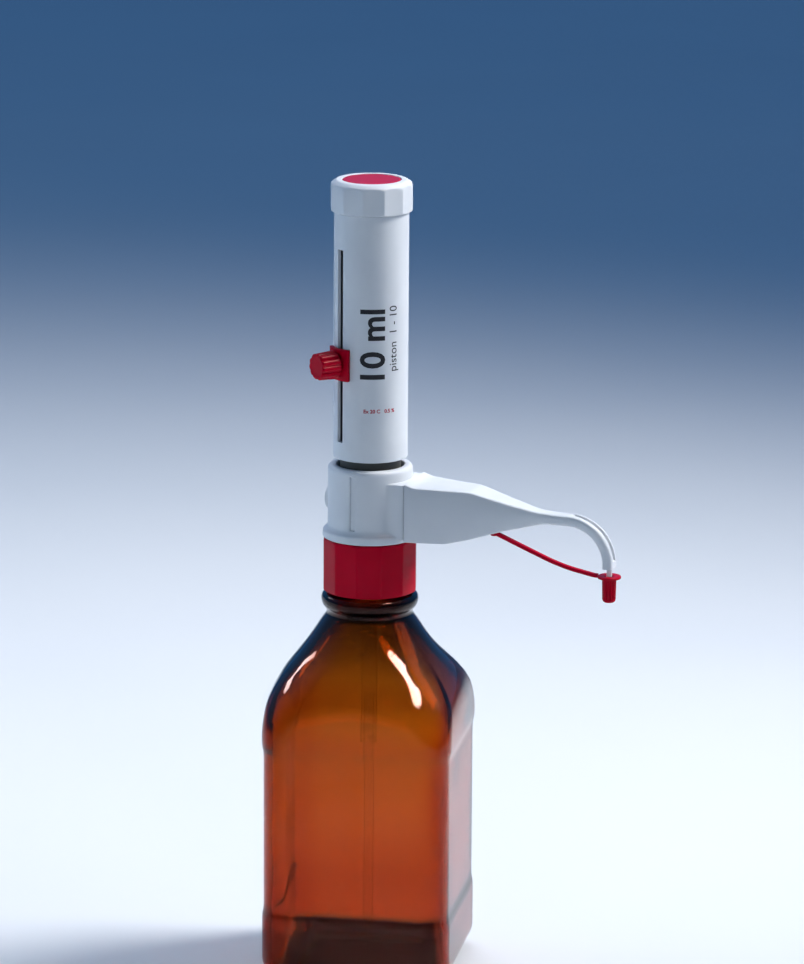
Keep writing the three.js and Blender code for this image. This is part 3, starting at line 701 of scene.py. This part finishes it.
def make_valve_block():
    low, high = span("valve_block")
    z0, z1 = low.z, high.z
    skirt = span("screw_collar")[1].z + 0.3
    shell = softened([
        (STEM_BORE, z0), (SPIGOT_RADIUS - 0.6, z0), (SPIGOT_RADIUS - 0.6, z0 + 1.3),
        (SPIGOT_RADIUS, z0 + 1.3), (SPIGOT_RADIUS, skirt), (FLANGE_RADIUS, skirt, 0.5),
        (FLANGE_RADIUS - 0.1, skirt + 2.9, 0.6), (BLOCK_RADIUS + 0.7, skirt + 3.7, 0.5),
        (BLOCK_RADIUS, skirt + 4.6, 0.8), (BLOCK_RADIUS, skirt + 9), (BLOCK_RADIUS, skirt + 16),
        (BLOCK_RADIUS, skirt + 23), (BLOCK_RADIUS, z1, 2.1), (RECESS_RADIUS, z1, 0.7),
        (RECESS_RADIUS, skirt + 5.1), (STEM_BORE, skirt + 5.1),
    ], 6)
    strip_low, strip_high = skirt + 5.4, z1 - 2.6

    def shape(angle, radius, z):
        if radius < BLOCK_RADIUS - 0.6 or z < skirt + 0.8:
            return radius, z
        wide = radius > BLOCK_RADIUS + 0.2
        off = (angle - STRIP_ANGLE + math.pi) % TURN - math.pi
        if not wide and z > strip_low - 1:
            across = bump_between(-STRIP_HALF_WIDTH, STRIP_HALF_WIDTH, 0.2, off * radius)
            radius -= 0.9 * across * bump_between(strip_low, strip_high, 0.3, z)
        rise = 1 - smooth_step(BOSS_TOP - 0.7, BOSS_TOP, z)
        boss = boss_radius(angle) * rise
        return (soft_max(radius, boss, 1.8) if boss > radius - 1.8 else radius), z

    dense = []
    for point, following in zip(shell, shell[1:] + shell[:1]):
        dense.append(point)
        if abs(point.x - BLOCK_RADIUS) < 0.01 and abs(following.x - BLOCK_RADIUS) < 0.01:
            rise = following.y - point.y
            if abs(rise) > 2:
                count = int(abs(rise) / 0.4)
                dense += [Vector((point.x, point.y + rise * k / count)) for k in range(1, count)]
    body = as_object("block_shell", revolved(dense, even_angles(360), shape), 30)
    collar_of_vent = revolved(softened([(0, 0), (5.6, 0), (5.6, 7, 0.5), (0, 7)]), even_angles(64))
    boolean(body, moved(turned_to(collar_of_vent, (-1, 0, 0), VENT_Z), (-10.2, 0, 0)), "UNION", 30)
    recess = revolved([(0, skirt + 5.1), (RECESS_RADIUS, skirt + 5.1), (RECESS_RADIUS, z1 + 2),
                       (0, z1 + 2)], even_angles(144))
    boolean(body, recess, "DIFFERENCE", 30)
    vent_hole = revolved([(0, 0), (3.4, 0), (3.4, 9), (0, 9)], even_angles(48))
    boolean(body, moved(turned_to(vent_hole, (-1, 0, 0), VENT_Z), (-9.5, 0, 0)), "DIFFERENCE", 30)
    boolean(body, port_tool(10, 21), "DIFFERENCE", 30)
    return finished(body, WHITE, "head", "white_plastic", "valve_block")


def port_tool(x0, x1):
    """The round way out to the arm, as a tool from x0 to x1."""
    rod = revolved([(0, 0), (PORT_RADIUS, 0), (PORT_RADIUS, x1 - x0), (0, x1 - x0)], even_angles(48))
    return moved(turned_to(rod, (1, 0, 0), PORT_Z), (x0, 0, 0))


def moved(bm, step):
    bmesh.ops.translate(bm, verts=bm.verts, vec=Vector(step) * MM)
    return bm


# ---- Discharge arm --------------------------------------------------------------------------------

SPOUT_X = 85.1
SPOUT_CENTRE_Z = 179.0
SPOUT_OUTER = 19.0
SPOUT_INNER = 14.8
SPOUT_PATH = 17.0
ARM_TOP = [(18.8, 207.3), (22.5, 205.9), (45.2, 205.3), (58.9, 201.7), (71.8, 198.6), (80, 198), (87, 198)]
ARM_BOTTOM = [(18.8, 183.1), (35.5, 183.3), (44.5, 185.4), (57.6, 189.5), (74.6, 193.8), (87, 193.8)]
ARM_HALF = [(18.8, 12), (22, 12), (45, 7.9), (59, 5.8), (72, 3.6), (78, 3.4), (106, 3.4)]
ARM_EDGE = [(18.8, 0.7), (45, 0.9), (72, 1.1), (106, 1.1)]
TOP_SHARES = (-1, -0.8, -0.68, -0.6, -0.5, -0.25, 0, 0.25, 0.5, 0.6, 0.68, 0.8, 1)
EDGE_STEPS = 4


def groove_depth(share, depth):
    """Depth of the spout's groove at a share of its width, with a raised lip on either side."""
    return depth * (1 - smooth_step(0.48, 0.6, abs(share))) - 0.18 * depth * bump_between(
        0.68, 0.78, 0.12, abs(share))


def arm_section(half, height, edge, groove):
    """Outline across the arm as (side, rise) points, rise from 0 at the bottom to height."""
    flat = half - edge
    top = [(flat * share, height - groove_depth(share, groove)) for share in TOP_SHARES]
    points = list(top)
    corners = (((flat, height - edge), 90), ((flat, edge), 0), ((-flat, edge), -90),
               ((-flat, height - edge), -180))
    for i, ((cx, cy), start) in enumerate(corners):
        for k in range(1, EDGE_STEPS + (i < 3)):
            bend = math.radians(start - 90 * k / EDGE_STEPS)
            points.append((cx + edge * math.cos(bend), cy + edge * math.sin(bend)))
        if i == 0:
            points += [(half, height / 2)]
        if i == 1:
            points += [(flat * share, 0) for share in (0.5, 0, -0.5)]
            points.append((-flat, 0))
        if i == 2:
            points += [(-half, height / 2)]
    return points


def make_arm():
    skirt = span("screw_collar")[1].z + 0.3
    rings = []
    stations = [18.8, 19.2, 19.8] + [20.6 + 1.1 * i for i in range(59)]
    for x in stations:
        low = eased(ARM_BOTTOM, x, 1.1)
        high = eased(ARM_TOP, x, 1.1)
        section = arm_section(eased(ARM_HALF, x, 1.0), high - low, between(ARM_EDGE, x), 0)
        rings.append([(x, side, low + rise) for side, rise in section])
    bends = 40
    for k in range(bends + 5):
        bend = math.radians(90 * min(k, bends) / bends)
        drop = max(0, k - bends) * 0.35
        closed_end = smooth_step(1, 4, k) * (1 - smooth_step(bends - 3.2, bends - 1.8, k))
        section = arm_section(3.4, SPOUT_OUTER - SPOUT_INNER, 1.1, 0.95 * closed_end)
        flare = 1 + 0.03 * smooth_step(bends - 5, bends + 3, k)
        ring = []
        for side, rise in section:
            reach = SPOUT_INNER + rise
            ring.append((SPOUT_X + reach * math.sin(bend), side * flare,
                         SPOUT_CENTRE_Z + reach * math.cos(bend) - drop))
        rings.append(ring)
    tip_z = rings[-1][0][2]
    tip_x = SPOUT_X + SPOUT_PATH
    for radius, rise in ((1.55, 0), (1.4, 0.15), (1.4, 4)):
        ring = []
        for x, y, _ in rings[-1] if radius > 1.5 else rings[-2]:
            bend = math.atan2(y, x - tip_x)
            ring.append((tip_x + radius * math.cos(bend), radius * math.sin(bend), tip_z + rise))
        rings.append(ring)
    arm = as_object("arm_shell", loft(rings), 38)
    flange = revolved([(0, skirt - 3), (FLANGE_RADIUS + 0.3, skirt - 3), (FLANGE_RADIUS + 0.3, skirt + 4.1),
                       (0, skirt + 4.1)], even_angles(180))
    boolean(arm, flange, "DIFFERENCE", 38)
    pin = middle("strap_anchor")
    hole = revolved([(0, pin.z - 8), (1.5, pin.z - 8), (1.5, pin.z + 2.9), (0, pin.z + 2.9)],
                    even_angles(32))
    boolean(arm, moved(hole, (pin.x, 0, 0)), "DIFFERENCE", 38)
    return finished(arm, WHITE, "head", "white_plastic", "discharge_arm")


def make_discharge_tube():
    """The clear tube, level through the arm, round the spout and out of its tip."""
    low = span("discharge_tube")[0]
    route = [(x, SPOUT_CENTRE_Z + SPOUT_PATH) for x in (low.x, 45, 65, 80)]
    route += [(SPOUT_X + SPOUT_PATH * math.sin(math.radians(a)),
               SPOUT_CENTRE_Z + SPOUT_PATH * math.cos(math.radians(a))) for a in range(0, 91, 6)]
    route.append((SPOUT_X + SPOUT_PATH, low.z))
    rings = []
    for i, (x, z) in enumerate(route):
        ahead = Vector(route[min(i + 1, len(route) - 1)]) - Vector(route[max(i - 1, 0)])
        across = Vector((-ahead.y, ahead.x)).normalized()
        rings.append((x, z, across))
    outer, inner = 1.1, 0.65
    shell = [[(x + across.x * r * math.cos(a), r * math.sin(a), z + across.y * r * math.cos(a))
              for a in even_angles(32)] for r in (outer, inner)
             for x, z, across in (rings if r == outer else reversed(rings))]
    tube = as_object("discharge_tube_clear", loft(shell, closed=True), 50)
    return finished(tube, TUBE, "head", "clear_tube", "discharge_tube")


# ---- Strap and closure cap ------------------------------------------------------------------------

STRAP_HALF = 1.1
STRAP_THICK = 1.5


def make_strap():
    pin = middle("strap_anchor")
    end = span("cap_strap")[1].x
    route = flowing([(pin.x + 0.6, 187.35), (57.2, 186.3), (63.7, 183.7), (70.6, 181), (77.4, 178.4),
                     (84.3, 176.3), (91.2, 174.9), (end - 2, 174.15), (end, 174.0)], 6)
    rings = []
    for i, here in enumerate(route):
        ahead = (route[min(i + 1, len(route) - 1)] - route[max(i - 1, 0)]).normalized()
        up = Vector((-ahead.y, ahead.x))
        outline = softened([(-STRAP_HALF, -STRAP_THICK / 2, 0.35), (STRAP_HALF, -STRAP_THICK / 2, 0.35),
                            (STRAP_HALF, STRAP_THICK / 2, 0.35), (-STRAP_HALF, STRAP_THICK / 2, 0.35)], 3)
        rings.append([(here.x + up.x * rise, side, here.y + up.y * rise) for side, rise in outline])
    strap = as_object("closure_strap", loft(rings), 40)
    strap.data.materials.append(RED)
    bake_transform(strap)
    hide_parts("cap_strap")
    return strap


def make_strap_anchor():
    low, high = span("strap_anchor")
    profile = softened([(0, low.z - 0.4), (1.9, low.z - 0.4, 0.4), (1.9, low.z + 0.6, 0.3),
                        (1.25, low.z + 0.6), (1.25, high.z, 0.3), (0, high.z)], 3)
    bm = moved(revolved(profile, even_angles(32)), (middle("strap_anchor").x, 0, 0))
    return finished(as_object("strap_pin", bm, 40), RED, "head", "red_plastic", "strap_anchor")


CLOSURE_RIBS = 14


def make_closure_cap():
    low, high = span("closure_cap")
    z0, z1 = low.z, high.z
    centre = middle("closure_cap")
    rim = (high.x - low.x) / 2
    outline = softened([
        (0, z0), (2.1, z0, 0.3), (2.6, z0 + 0.6, 0.3), (2.62, z0 + 1.2), (2.75, z1 - 1.7, 0.3),
        (3.1, z1 - 1.15, 0.3), (rim, z1 - 1.1, 0.3), (rim, z1 - 0.05, 0.45), (2.0, z1 - 0.05, 0.4),
        (1.55, z1 - 0.6, 0.2), (1.5, z0 + 1.7, 0.3), (0, z0 + 1.7),
    ], 4)

    def shape(angle, radius, z):
        if 2.3 < radius < 2.9 and z0 + 0.9 < z < z1 - 1.4:
            rib = 0.5 + 0.5 * math.cos(angle * CLOSURE_RIBS)
            return radius - 0.2 + 0.32 * smooth_step(0.25, 0.75, rib), z
        return radius, z

    dense = []
    for point, following in zip(outline, outline[1:] + outline[:1]):
        dense.append(point)
        if point.x > 2.3 and following.x > 2.3 and following.y - point.y > 2:
            dense += [point.lerp(following, share) for share in (0.02, 0.06, 0.5, 0.94, 0.98)]
    bm = revolved(dense, even_angles(CLOSURE_RIBS * 10), shape)
    cap = as_object("closure_cap_ribbed", moved(bm, (centre.x, 0, 0)), 35)
    return finished(cap, RED, "closure", "red_plastic", "closure_cap")


def make_vent_cap():
    low, high = span("vent_cap")
    length = high.x - low.x
    outline = softened([(0, 0), (3.0, 0, 0.3), (3.0, length - 1.2), (4.7, length - 1.2, 0.3),
                        (4.7, length - 0.4, 0.5), (2.2, length, 1.2), (0, length)], 5)
    bm = turned_to(revolved(outline, even_angles(72)), (-1, 0, 0), VENT_Z)
    plug = as_object("vent_plug", moved(bm, (high.x, 0, 0)), 40)
    return finished(plug, WHITE, "vent_plug", "white_plastic", "vent_cap")


# ---- Guide tube, sleeve and cap -------------------------------------------------------------------

GUIDE_RADIUS = 12.4
GUIDE_BORE = 10.8
SLEEVE_RADIUS = 15.05
SLEEVE_BORE = 13.7
SLOT_AZIMUTH = math.radians(-125)
SLOT_HALF = 1.75
SLOT_LOW = 7.3
SLOT_HIGH = 14.4
TOOTH_PITCH = 0.97
TOOTH_HEIGHT = 0.24
TEETH_LOW = 238.0
TEETH_HIGH = 294.4
TEETH_CENTRE = math.radians(-26)
TEETH_HALF_ANGLE = math.radians(5.5)


def make_guide_tube():
    low, high = span("guide_tube")
    outline = softened([
        (GUIDE_BORE, low.z), (RECESS_RADIUS - 0.3, low.z, 0.3), (RECESS_RADIUS - 0.3, low.z + 2.7, 0.4),
        (GUIDE_RADIUS, low.z + 2.7, 0.4), (GUIDE_RADIUS, high.z, 0.5), (GUIDE_BORE, high.z, 0.3)], 4)
    tube = as_object("guide_shell", revolved(outline, even_angles(128)), 35)
    boolean(tube, port_tool(8, 16), "DIFFERENCE", 35)
    return finished(tube, DARK, "head", "dark_plastic", "guide_tube")


def make_sleeve():
    low, high = span("outer_sleeve")
    z0, z1 = low.z, high.z
    outline = softened([(SLEEVE_BORE, z0, 0.3), (SLEEVE_RADIUS, z0, 0.5), (SLEEVE_RADIUS, z1, 0.2),
                        (SLEEVE_BORE, z1, 0.2)], 4)
    wall = []
    for point, following in zip(outline, outline[1:] + outline[:1]):
        wall.append(point)
        if point.x > SLEEVE_BORE + 1 and following.y - point.y > 50:
            step = TOOTH_PITCH / 6
            count = int((TEETH_HIGH - TEETH_LOW) / step)
            wall += [Vector((SLEEVE_RADIUS, TEETH_LOW + step * k)) for k in range(count + 1)]

    def shape(angle, radius, z):
        if radius < SLEEVE_RADIUS - 0.01 or not TEETH_LOW <= z <= TEETH_HIGH:
            return radius, z
        off = (angle - SLOT_AZIMUTH - TEETH_CENTRE + math.pi) % TURN - math.pi
        if abs(off) > TEETH_HALF_ANGLE:
            return radius, z
        phase = ((z - TEETH_LOW) / TOOTH_PITCH) % 1
        return radius + TOOTH_HEIGHT * bump_between(0.2, 0.55, 0.2, phase), z

    window = SLOT_AZIMUTH + TEETH_CENTRE
    edge = math.radians(0.25)
    marks = [window + side * (TEETH_HALF_ANGLE + off) for side in (-1, 1) for off in (-edge, edge)]
    angles = sorted({round(a % TURN, 6) for a in even_angles(144) + marks})
    sleeve = as_object("sleeve_shell", revolved(wall, angles, shape), 30)
    slot = block((10, -SLOT_HALF, z0 + SLOT_LOW), (20, SLOT_HALF, z1 - SLOT_HIGH))
    slot.transform(Matrix.Rotation(SLOT_AZIMUTH, 4, "Z"))
    boolean(sleeve, slot, "DIFFERENCE", 30)
    return finished(sleeve, WHITE, "piston_unit", "white_plastic", "outer_sleeve")


CAP_CORNER = 16.85
CAP_PHASE = math.radians(8.2)
INSERT_RADIUS = 11.75


def make_head_cap():
    high = span("head_cap")[1]
    z1 = high.z
    z0 = span("outer_sleeve")[1].z + 0.3
    outline = softened([
        (0, z1 - 1.6), (INSERT_RADIUS + 0.2, z1 - 1.6), (INSERT_RADIUS + 0.2, z1, 0.3),
        (CAP_CORNER - 2.7, z1, 0.8), (CAP_CORNER - 0.45, z1 - 1.5, 0.7), (CAP_CORNER, z1 - 3.0, 0.8),
        (CAP_CORNER, z0 + 2.2, 0.8), (CAP_CORNER - 0.1, z0 + 0.5, 0.35), (CAP_CORNER - 0.6, z0, 0.35),
        (SLEEVE_BORE - 0.3, z0), (SLEEVE_BORE - 0.3, z0 - 5.8, 0.4), (12.1, z0 - 5.8, 0.3),
        (12.1, z0 + 4.5), (0, z0 + 4.5),
    ], 6)

    def shape(angle, radius, z):
        if radius < SLEEVE_BORE:
            return radius, z
        side = facet_radius(angle, CAP_CORNER, CAP_PHASE, 0.12)
        return soft_min(radius, side, 0.22), z

    cap = as_object("head_cap_faceted", revolved(outline, facet_angles(CAP_PHASE), shape), 22)
    return finished(cap, WHITE, "piston_unit", "white_plastic", "head_cap")


def make_cap_insert():
    low, high = span("cap_insert")
    outline = softened([(0, low.z), (INSERT_RADIUS, low.z, 0.1), (INSERT_RADIUS, high.z - 0.1, 0.25),
                        (INSERT_RADIUS - 1.2, high.z - 0.04, 0.6), (0, high.z - 0.12)], 4)
    disc = as_object("cap_insert_disc", revolved(outline, even_angles(128)), 35)
    return finished(disc, RED, "piston_unit", "red_plastic", "cap_insert")


# ---- Volume selector ------------------------------------------------------------------------------

SADDLE_OUTER = 17.05
SADDLE_INNER = 15.35
SADDLE_HALF_ANGLE = math.radians(22.5)
KNOB_FLUTES = 11
slot_direction = Vector((math.cos(SLOT_AZIMUTH), math.sin(SLOT_AZIMUTH), 0))


def make_saddle():
    """A plate drawn flat, with rounded edges, and then wrapped round the sleeve."""
    low, high = span("selector_carriage")
    half_length = SADDLE_HALF_ANGLE * SADDLE_OUTER
    centre_z = (low.z + high.z) / 2
    bm = block((SADDLE_INNER, -half_length, low.z), (SADDLE_OUTER, half_length, high.z), 0.35, 3)
    cuts = 24
    for k in range(1, cuts):
        y = (-half_length + 2 * half_length * k / cuts) * MM
        geometry = list(bm.verts) + list(bm.edges) + list(bm.faces)
        bmesh.ops.bisect_plane(bm, geom=geometry, plane_co=(0, y, 0), plane_no=(0, 1, 0))
    for vert in bm.verts:
        angle = vert.co.y / (SADDLE_OUTER * MM)
        radius = vert.co.x
        vert.co.x = radius * math.cos(angle)
        vert.co.y = radius * math.sin(angle)
    saddle = as_object("saddle_plate", bm, 35)
    for z in (centre_z - 4.35, centre_z + 4.35):
        tongue = block((SLEEVE_BORE + 0.2, -1.45, z - 1.15), (SADDLE_INNER + 0.6, 1.45, z + 1.15), 0.2)
        boolean(saddle, tongue, "UNION", 35)
    hole = revolved([(0, 12), (1.7, 12), (1.7, 20), (0, 20)], even_angles(40))
    hole = turned_to(hole, (1, 0, 0), centre_z)
    boolean(saddle, hole, "DIFFERENCE", 35)
    saddle.data.transform(Matrix.Rotation(SLOT_AZIMUTH, 4, "Z"))
    return finished(saddle, RED, "selector", "red_plastic", "selector_carriage")


def make_knob():
    centre = middle("selector_carriage")
    base, tip = SADDLE_OUTER + 0.4, 26.7
    outline = softened([
        (0, base), (4.8, base, 0.3), (5.2, base + 0.5, 0.3), (5.9, base + 0.9, 0.4), (5.5, tip - 0.6, 0.35),
        (4.95, tip, 0.4), (4.1, tip, 0.2), (3.9, tip - 0.15, 0.2), (0, tip - 0.15)], 5)
    dense = []
    for point, following in zip(outline, outline[1:] + outline[:1]):
        dense.append(point)
        if point.x > 5 and following.x > 5 and following.y - point.y > 3:
            dense += [point.lerp(following, share) for share in (0.2, 0.4, 0.6, 0.8)]

    def shape(angle, radius, z):
        if radius < 4.2:
            return radius, z
        lobe = abs(math.cos(angle * KNOB_FLUTES / 2)) ** 0.7
        depth = 0.75 * smooth_step(4.2, 5.3, radius) * smooth_step(base + 0.2, base + 1.1, z)
        return radius - depth * (1 - lobe), z

    bm = revolved(dense, even_angles(KNOB_FLUTES * 18), shape)
    knob = as_object("knob_fluted", turned_to(bm, slot_direction, centre.z), 32)
    return finished(knob, RED, "thumbscrew", "red_plastic", "selector_knob")


# ---- Print on the sleeve --------------------------------------------------------------------------

INK_THICKNESS = 0.04
SCALE_FIRST_Z = 230.2
SCALE_STEP = 6.28
NUMERAL_AZIMUTH = math.radians(-164)
VOLUME_AZIMUTH = math.radians(-65)
VOLUME_Z, VOLUME_SIZE, VOLUME_WEIGHT = 263.0, 14.0, 0.3
SMALL_AZIMUTH = math.radians(-33)
SMALL_Z, SMALL_SIZE = 266.0, 5.0
LINE_AZIMUTH = math.radians(-56)
LINE_Z, LINE_SIZE, LINE_WEIGHT = 236.5, 2.1, 0.06
NUMERAL_SIZE, NUMERAL_WEIGHT = 3.4, 0.06


def lettering(text, height, weight=0.0):
    """A thin flat mesh of the text, centred, in the XY plane."""
    curve = bpy.data.curves.new("lettering", "FONT")
    curve.body = text
    curve.size = height * MM
    curve.offset = weight * MM
    curve.extrude = INK_THICKNESS / 2 * MM
    curve.resolution_u = 4
    curve.align_x = "CENTER"
    curve.align_y = "CENTER"
    holder = bpy.data.objects.new("lettering", curve)
    bpy.context.scene.collection.objects.link(holder)
    graph = bpy.context.evaluated_depsgraph_get()
    bm = bmesh.new()
    bm.from_mesh(bpy.data.meshes.new_from_object(holder.evaluated_get(graph)))
    bpy.data.objects.remove(holder)
    bmesh.ops.remove_doubles(bm, verts=bm.verts, dist=1e-7)
    return bm


def wrapped(bm, azimuth, z, upright=True):
    """Lays flat lettering round the sleeve. Text that isn't upright reads up the sleeve."""
    if not upright:
        bm.transform(Matrix.Rotation(TURN / 4, 4, "Z"))
    reach = max(abs(vert.co.x) for vert in bm.verts)
    step = 0.6 * MM
    for k in range(-int(reach / step), int(reach / step) + 1):
        geometry = list(bm.verts) + list(bm.edges) + list(bm.faces)
        bmesh.ops.bisect_plane(bm, geom=geometry, plane_co=(k * step, 0, 0), plane_no=(1, 0, 0))
    for vert in bm.verts:
        radius = (SLEEVE_RADIUS + 0.01 + INK_THICKNESS / 2) * MM + vert.co.z
        angle = azimuth + vert.co.x / (SLEEVE_RADIUS * MM)
        vert.co = Vector((radius * math.cos(angle), radius * math.sin(angle), vert.co.y + z * MM))
    return bm


def joined(parts):
    whole = bmesh.new()
    for part in parts:
        mesh = bpy.data.meshes.new("part")
        part.to_mesh(mesh)
        part.free()
        whole.from_mesh(mesh)
    return whole


def make_print():
    """Generic marks: the volume, the piston's range, one small red line and the scale's numerals."""
    volume_mark = lettering("10 ml", VOLUME_SIZE, VOLUME_WEIGHT)
    black = [wrapped(volume_mark, VOLUME_AZIMUTH, VOLUME_Z, upright=False),
             wrapped(lettering("piston  1 - 10", SMALL_SIZE), SMALL_AZIMUTH, SMALL_Z, upright=False)]
    for volume in range(1, 11):
        z = SCALE_FIRST_Z + SCALE_STEP * (volume - 1)
        numeral = lettering(str(volume), NUMERAL_SIZE, NUMERAL_WEIGHT)
        black.append(wrapped(numeral, NUMERAL_AZIMUTH, z))
    text = as_object("sleeve_print_black", joined(black), 30)
    finished(text, BLACK_INK, "piston_unit", "dark_plastic")
    line = wrapped(lettering("Ex 20 C   0.5 %", LINE_SIZE, LINE_WEIGHT), LINE_AZIMUTH, LINE_Z)
    finished(as_object("sleeve_print_red", line, 30), RED_INK, "piston_unit", "red_plastic")


# ---- Tubes seen through the glass -----------------------------------------------------------------

def make_filling_tubes():
    low, high = span("filling_tube_upper")
    upper = softened([(2.9, low.z, 0.1), (3.4, low.z, 0.2), (3.4, high.z, 0.2), (2.9, high.z, 0.1)], 2)
    piece = as_object("suction_tube_upper", revolved(upper, even_angles(48)), 50)
    finished(piece, SUCTION_TUBE, "head", "clear_tube", "filling_tube_upper")
    low, high = span("filling_tube_lower")
    slant = math.tan(math.radians(35))

    def shape(angle, radius, z):
        cut = low.z + 1.8 + slant * radius * math.cos(angle) if z < low.z + 1 else z
        return radius, max(z, cut)

    lower = [(1.8, low.z), (2.5, low.z), (2.5, low.z + 8), (2.5, high.z), (1.8, high.z), (1.8, low.z + 8)]
    piece = as_object("suction_tube_lower", revolved(lower, even_angles(40), shape), 50)
    finished(piece, SUCTION_TUBE, "lower_tube", "clear_tube", "filling_tube_lower")


# ---- Floor and light ------------------------------------------------------------------------------

def add_floor():
    bm = bmesh.new()
    bmesh.ops.create_grid(bm, x_segments=8, y_segments=8, size=8)
    floor = as_object("studio_floor", bm)
    surface = Surface("pale_floor", Specular_IOR_Level=0.2)
    surface.colours(surface.noise(2, 3), (0.66, 0.68, 0.70), (0.70, 0.71, 0.72))
    surface.rough(surface.noise(6, 3), 0.6, 0.7)
    floor.data.materials.append(surface.material)


def add_soft_light(name, toward, distance, size, power, colour=(1, 1, 1), aim=(0, 0, 0.2), spread=180):
    """An area light that way from where it aims. Both are (right, to the camera, up) of the object. The
    light's height lies along the way to the camera."""
    level = Vector((to_camera.x, to_camera.y, 0)).normalized()
    turn = Matrix((to_right, level, (0, 0, 1))).transposed()
    way = (turn @ Vector(toward)).normalized()
    side = level.cross(way).normalized()
    data = bpy.data.lights.new(name, "AREA")
    data.shape = "RECTANGLE"
    data.size, data.size_y = size
    data.energy = power
    data.color = colour
    data.spread = math.radians(spread)
    light = bpy.data.objects.new(name, data)
    facing = Matrix((side, way.cross(side), way)).transposed().to_4x4()
    light.matrix_world = Matrix.Translation(turn @ Vector(aim) + way * distance) @ facing
    bpy.context.scene.collection.objects.link(light)
    return light


def add_world():
    """Air that is blue behind the object and dim behind the camera and overhead."""
    world = bpy.data.worlds.new("studio_air")
    world.use_nodes = True
    nodes, links = world.node_tree.nodes, world.node_tree.links
    place = nodes.new("ShaderNodeTexCoord")
    facing = nodes.new("ShaderNodeVectorMath")
    facing.operation = "DOT_PRODUCT"
    level = Vector((to_camera.x, to_camera.y, 0.35)).normalized()
    facing.inputs[1].default_value = level
    ramp = nodes.new("ShaderNodeValToRGB")
    links.new(place.outputs["Generated"], facing.inputs[0])
    links.new(facing.outputs["Value"], ramp.inputs["Fac"])
    band = ramp.color_ramp.elements
    band[0].position = 0.0
    band[0].color = (0.05, 0.18, 0.44, 1)
    band[1].position = 0.6
    band[1].color = (0.036, 0.058, 0.095, 1)
    background = nodes["Background"]
    links.new(ramp.outputs["Color"], background.inputs["Color"])
    background.inputs["Strength"].default_value = 1.0
    bpy.context.scene.world = world


PANE_POWER = 190
PANE_COLOUR = (1.0, 0.86, 0.84)


def add_lights():
    """Broad lights that shine on the surfaces but don't mirror in them, and narrow ones that only mirror."""
    key = add_soft_light("key", (0.76, -0.12, 0.64), 1.5, (0.7, 0.7), 8.9, aim=(0, -0.05, 0.25), spread=85)
    key.visible_glossy = False
    top = add_soft_light("top", (0.05, -0.35, 1.0), 1.5, (0.8, 0.8), 2.3, aim=(-0.22, -0.25, 0),
                         spread=85)
    top.visible_glossy = False
    back = add_soft_light("back_floor", (0.0, -0.6, 0.8), 1.5, (1.2, 0.5), 0.6, aim=(-0.2, -0.25, 0),
                          spread=80)
    back.visible_glossy = False
    fill = add_soft_light("left_fill", (-0.90, -0.25, 0.25), 1.8, (0.8, 1.0), 6.9, (0.66, 0.85, 1.0))
    fill.visible_glossy = False
    low = add_soft_light("front_fill", (-0.35, 0.9, 0.02), 2.0, (0.9, 0.5), 0.45, (0.74, 0.88, 1.0),
                         aim=(0.04, 0, 0.185), spread=30)
    low.visible_glossy = False
    strip = add_soft_light("left_strip", (-0.70, -0.53, 0.48), 1.5, (0.10, 0.36), 1.8, PANE_COLOUR)
    strip.visible_diffuse = False
    for toward, width, length in (((0.47, 0.19, 0.84), 0.16, 0.60), ((0.545, 0.08, 0.82), 0.07, 0.52)):
        pane = add_soft_light("window_pane", toward, 1.3, (width, length), PANE_POWER * width * length,
                              PANE_COLOUR)
        pane.visible_diffuse = False


add_camera()
add_floor()
add_world()
add_lights()
dress_cad_nodes()
make_bottle()
make_collar()
make_valve_block()
make_arm()
make_discharge_tube()
make_strap()
make_strap_anchor()
make_closure_cap()
make_vent_cap()
make_guide_tube()
make_sleeve()
make_head_cap()
make_cap_insert()
make_saddle()
make_knob()
make_print()
make_filling_tubes()
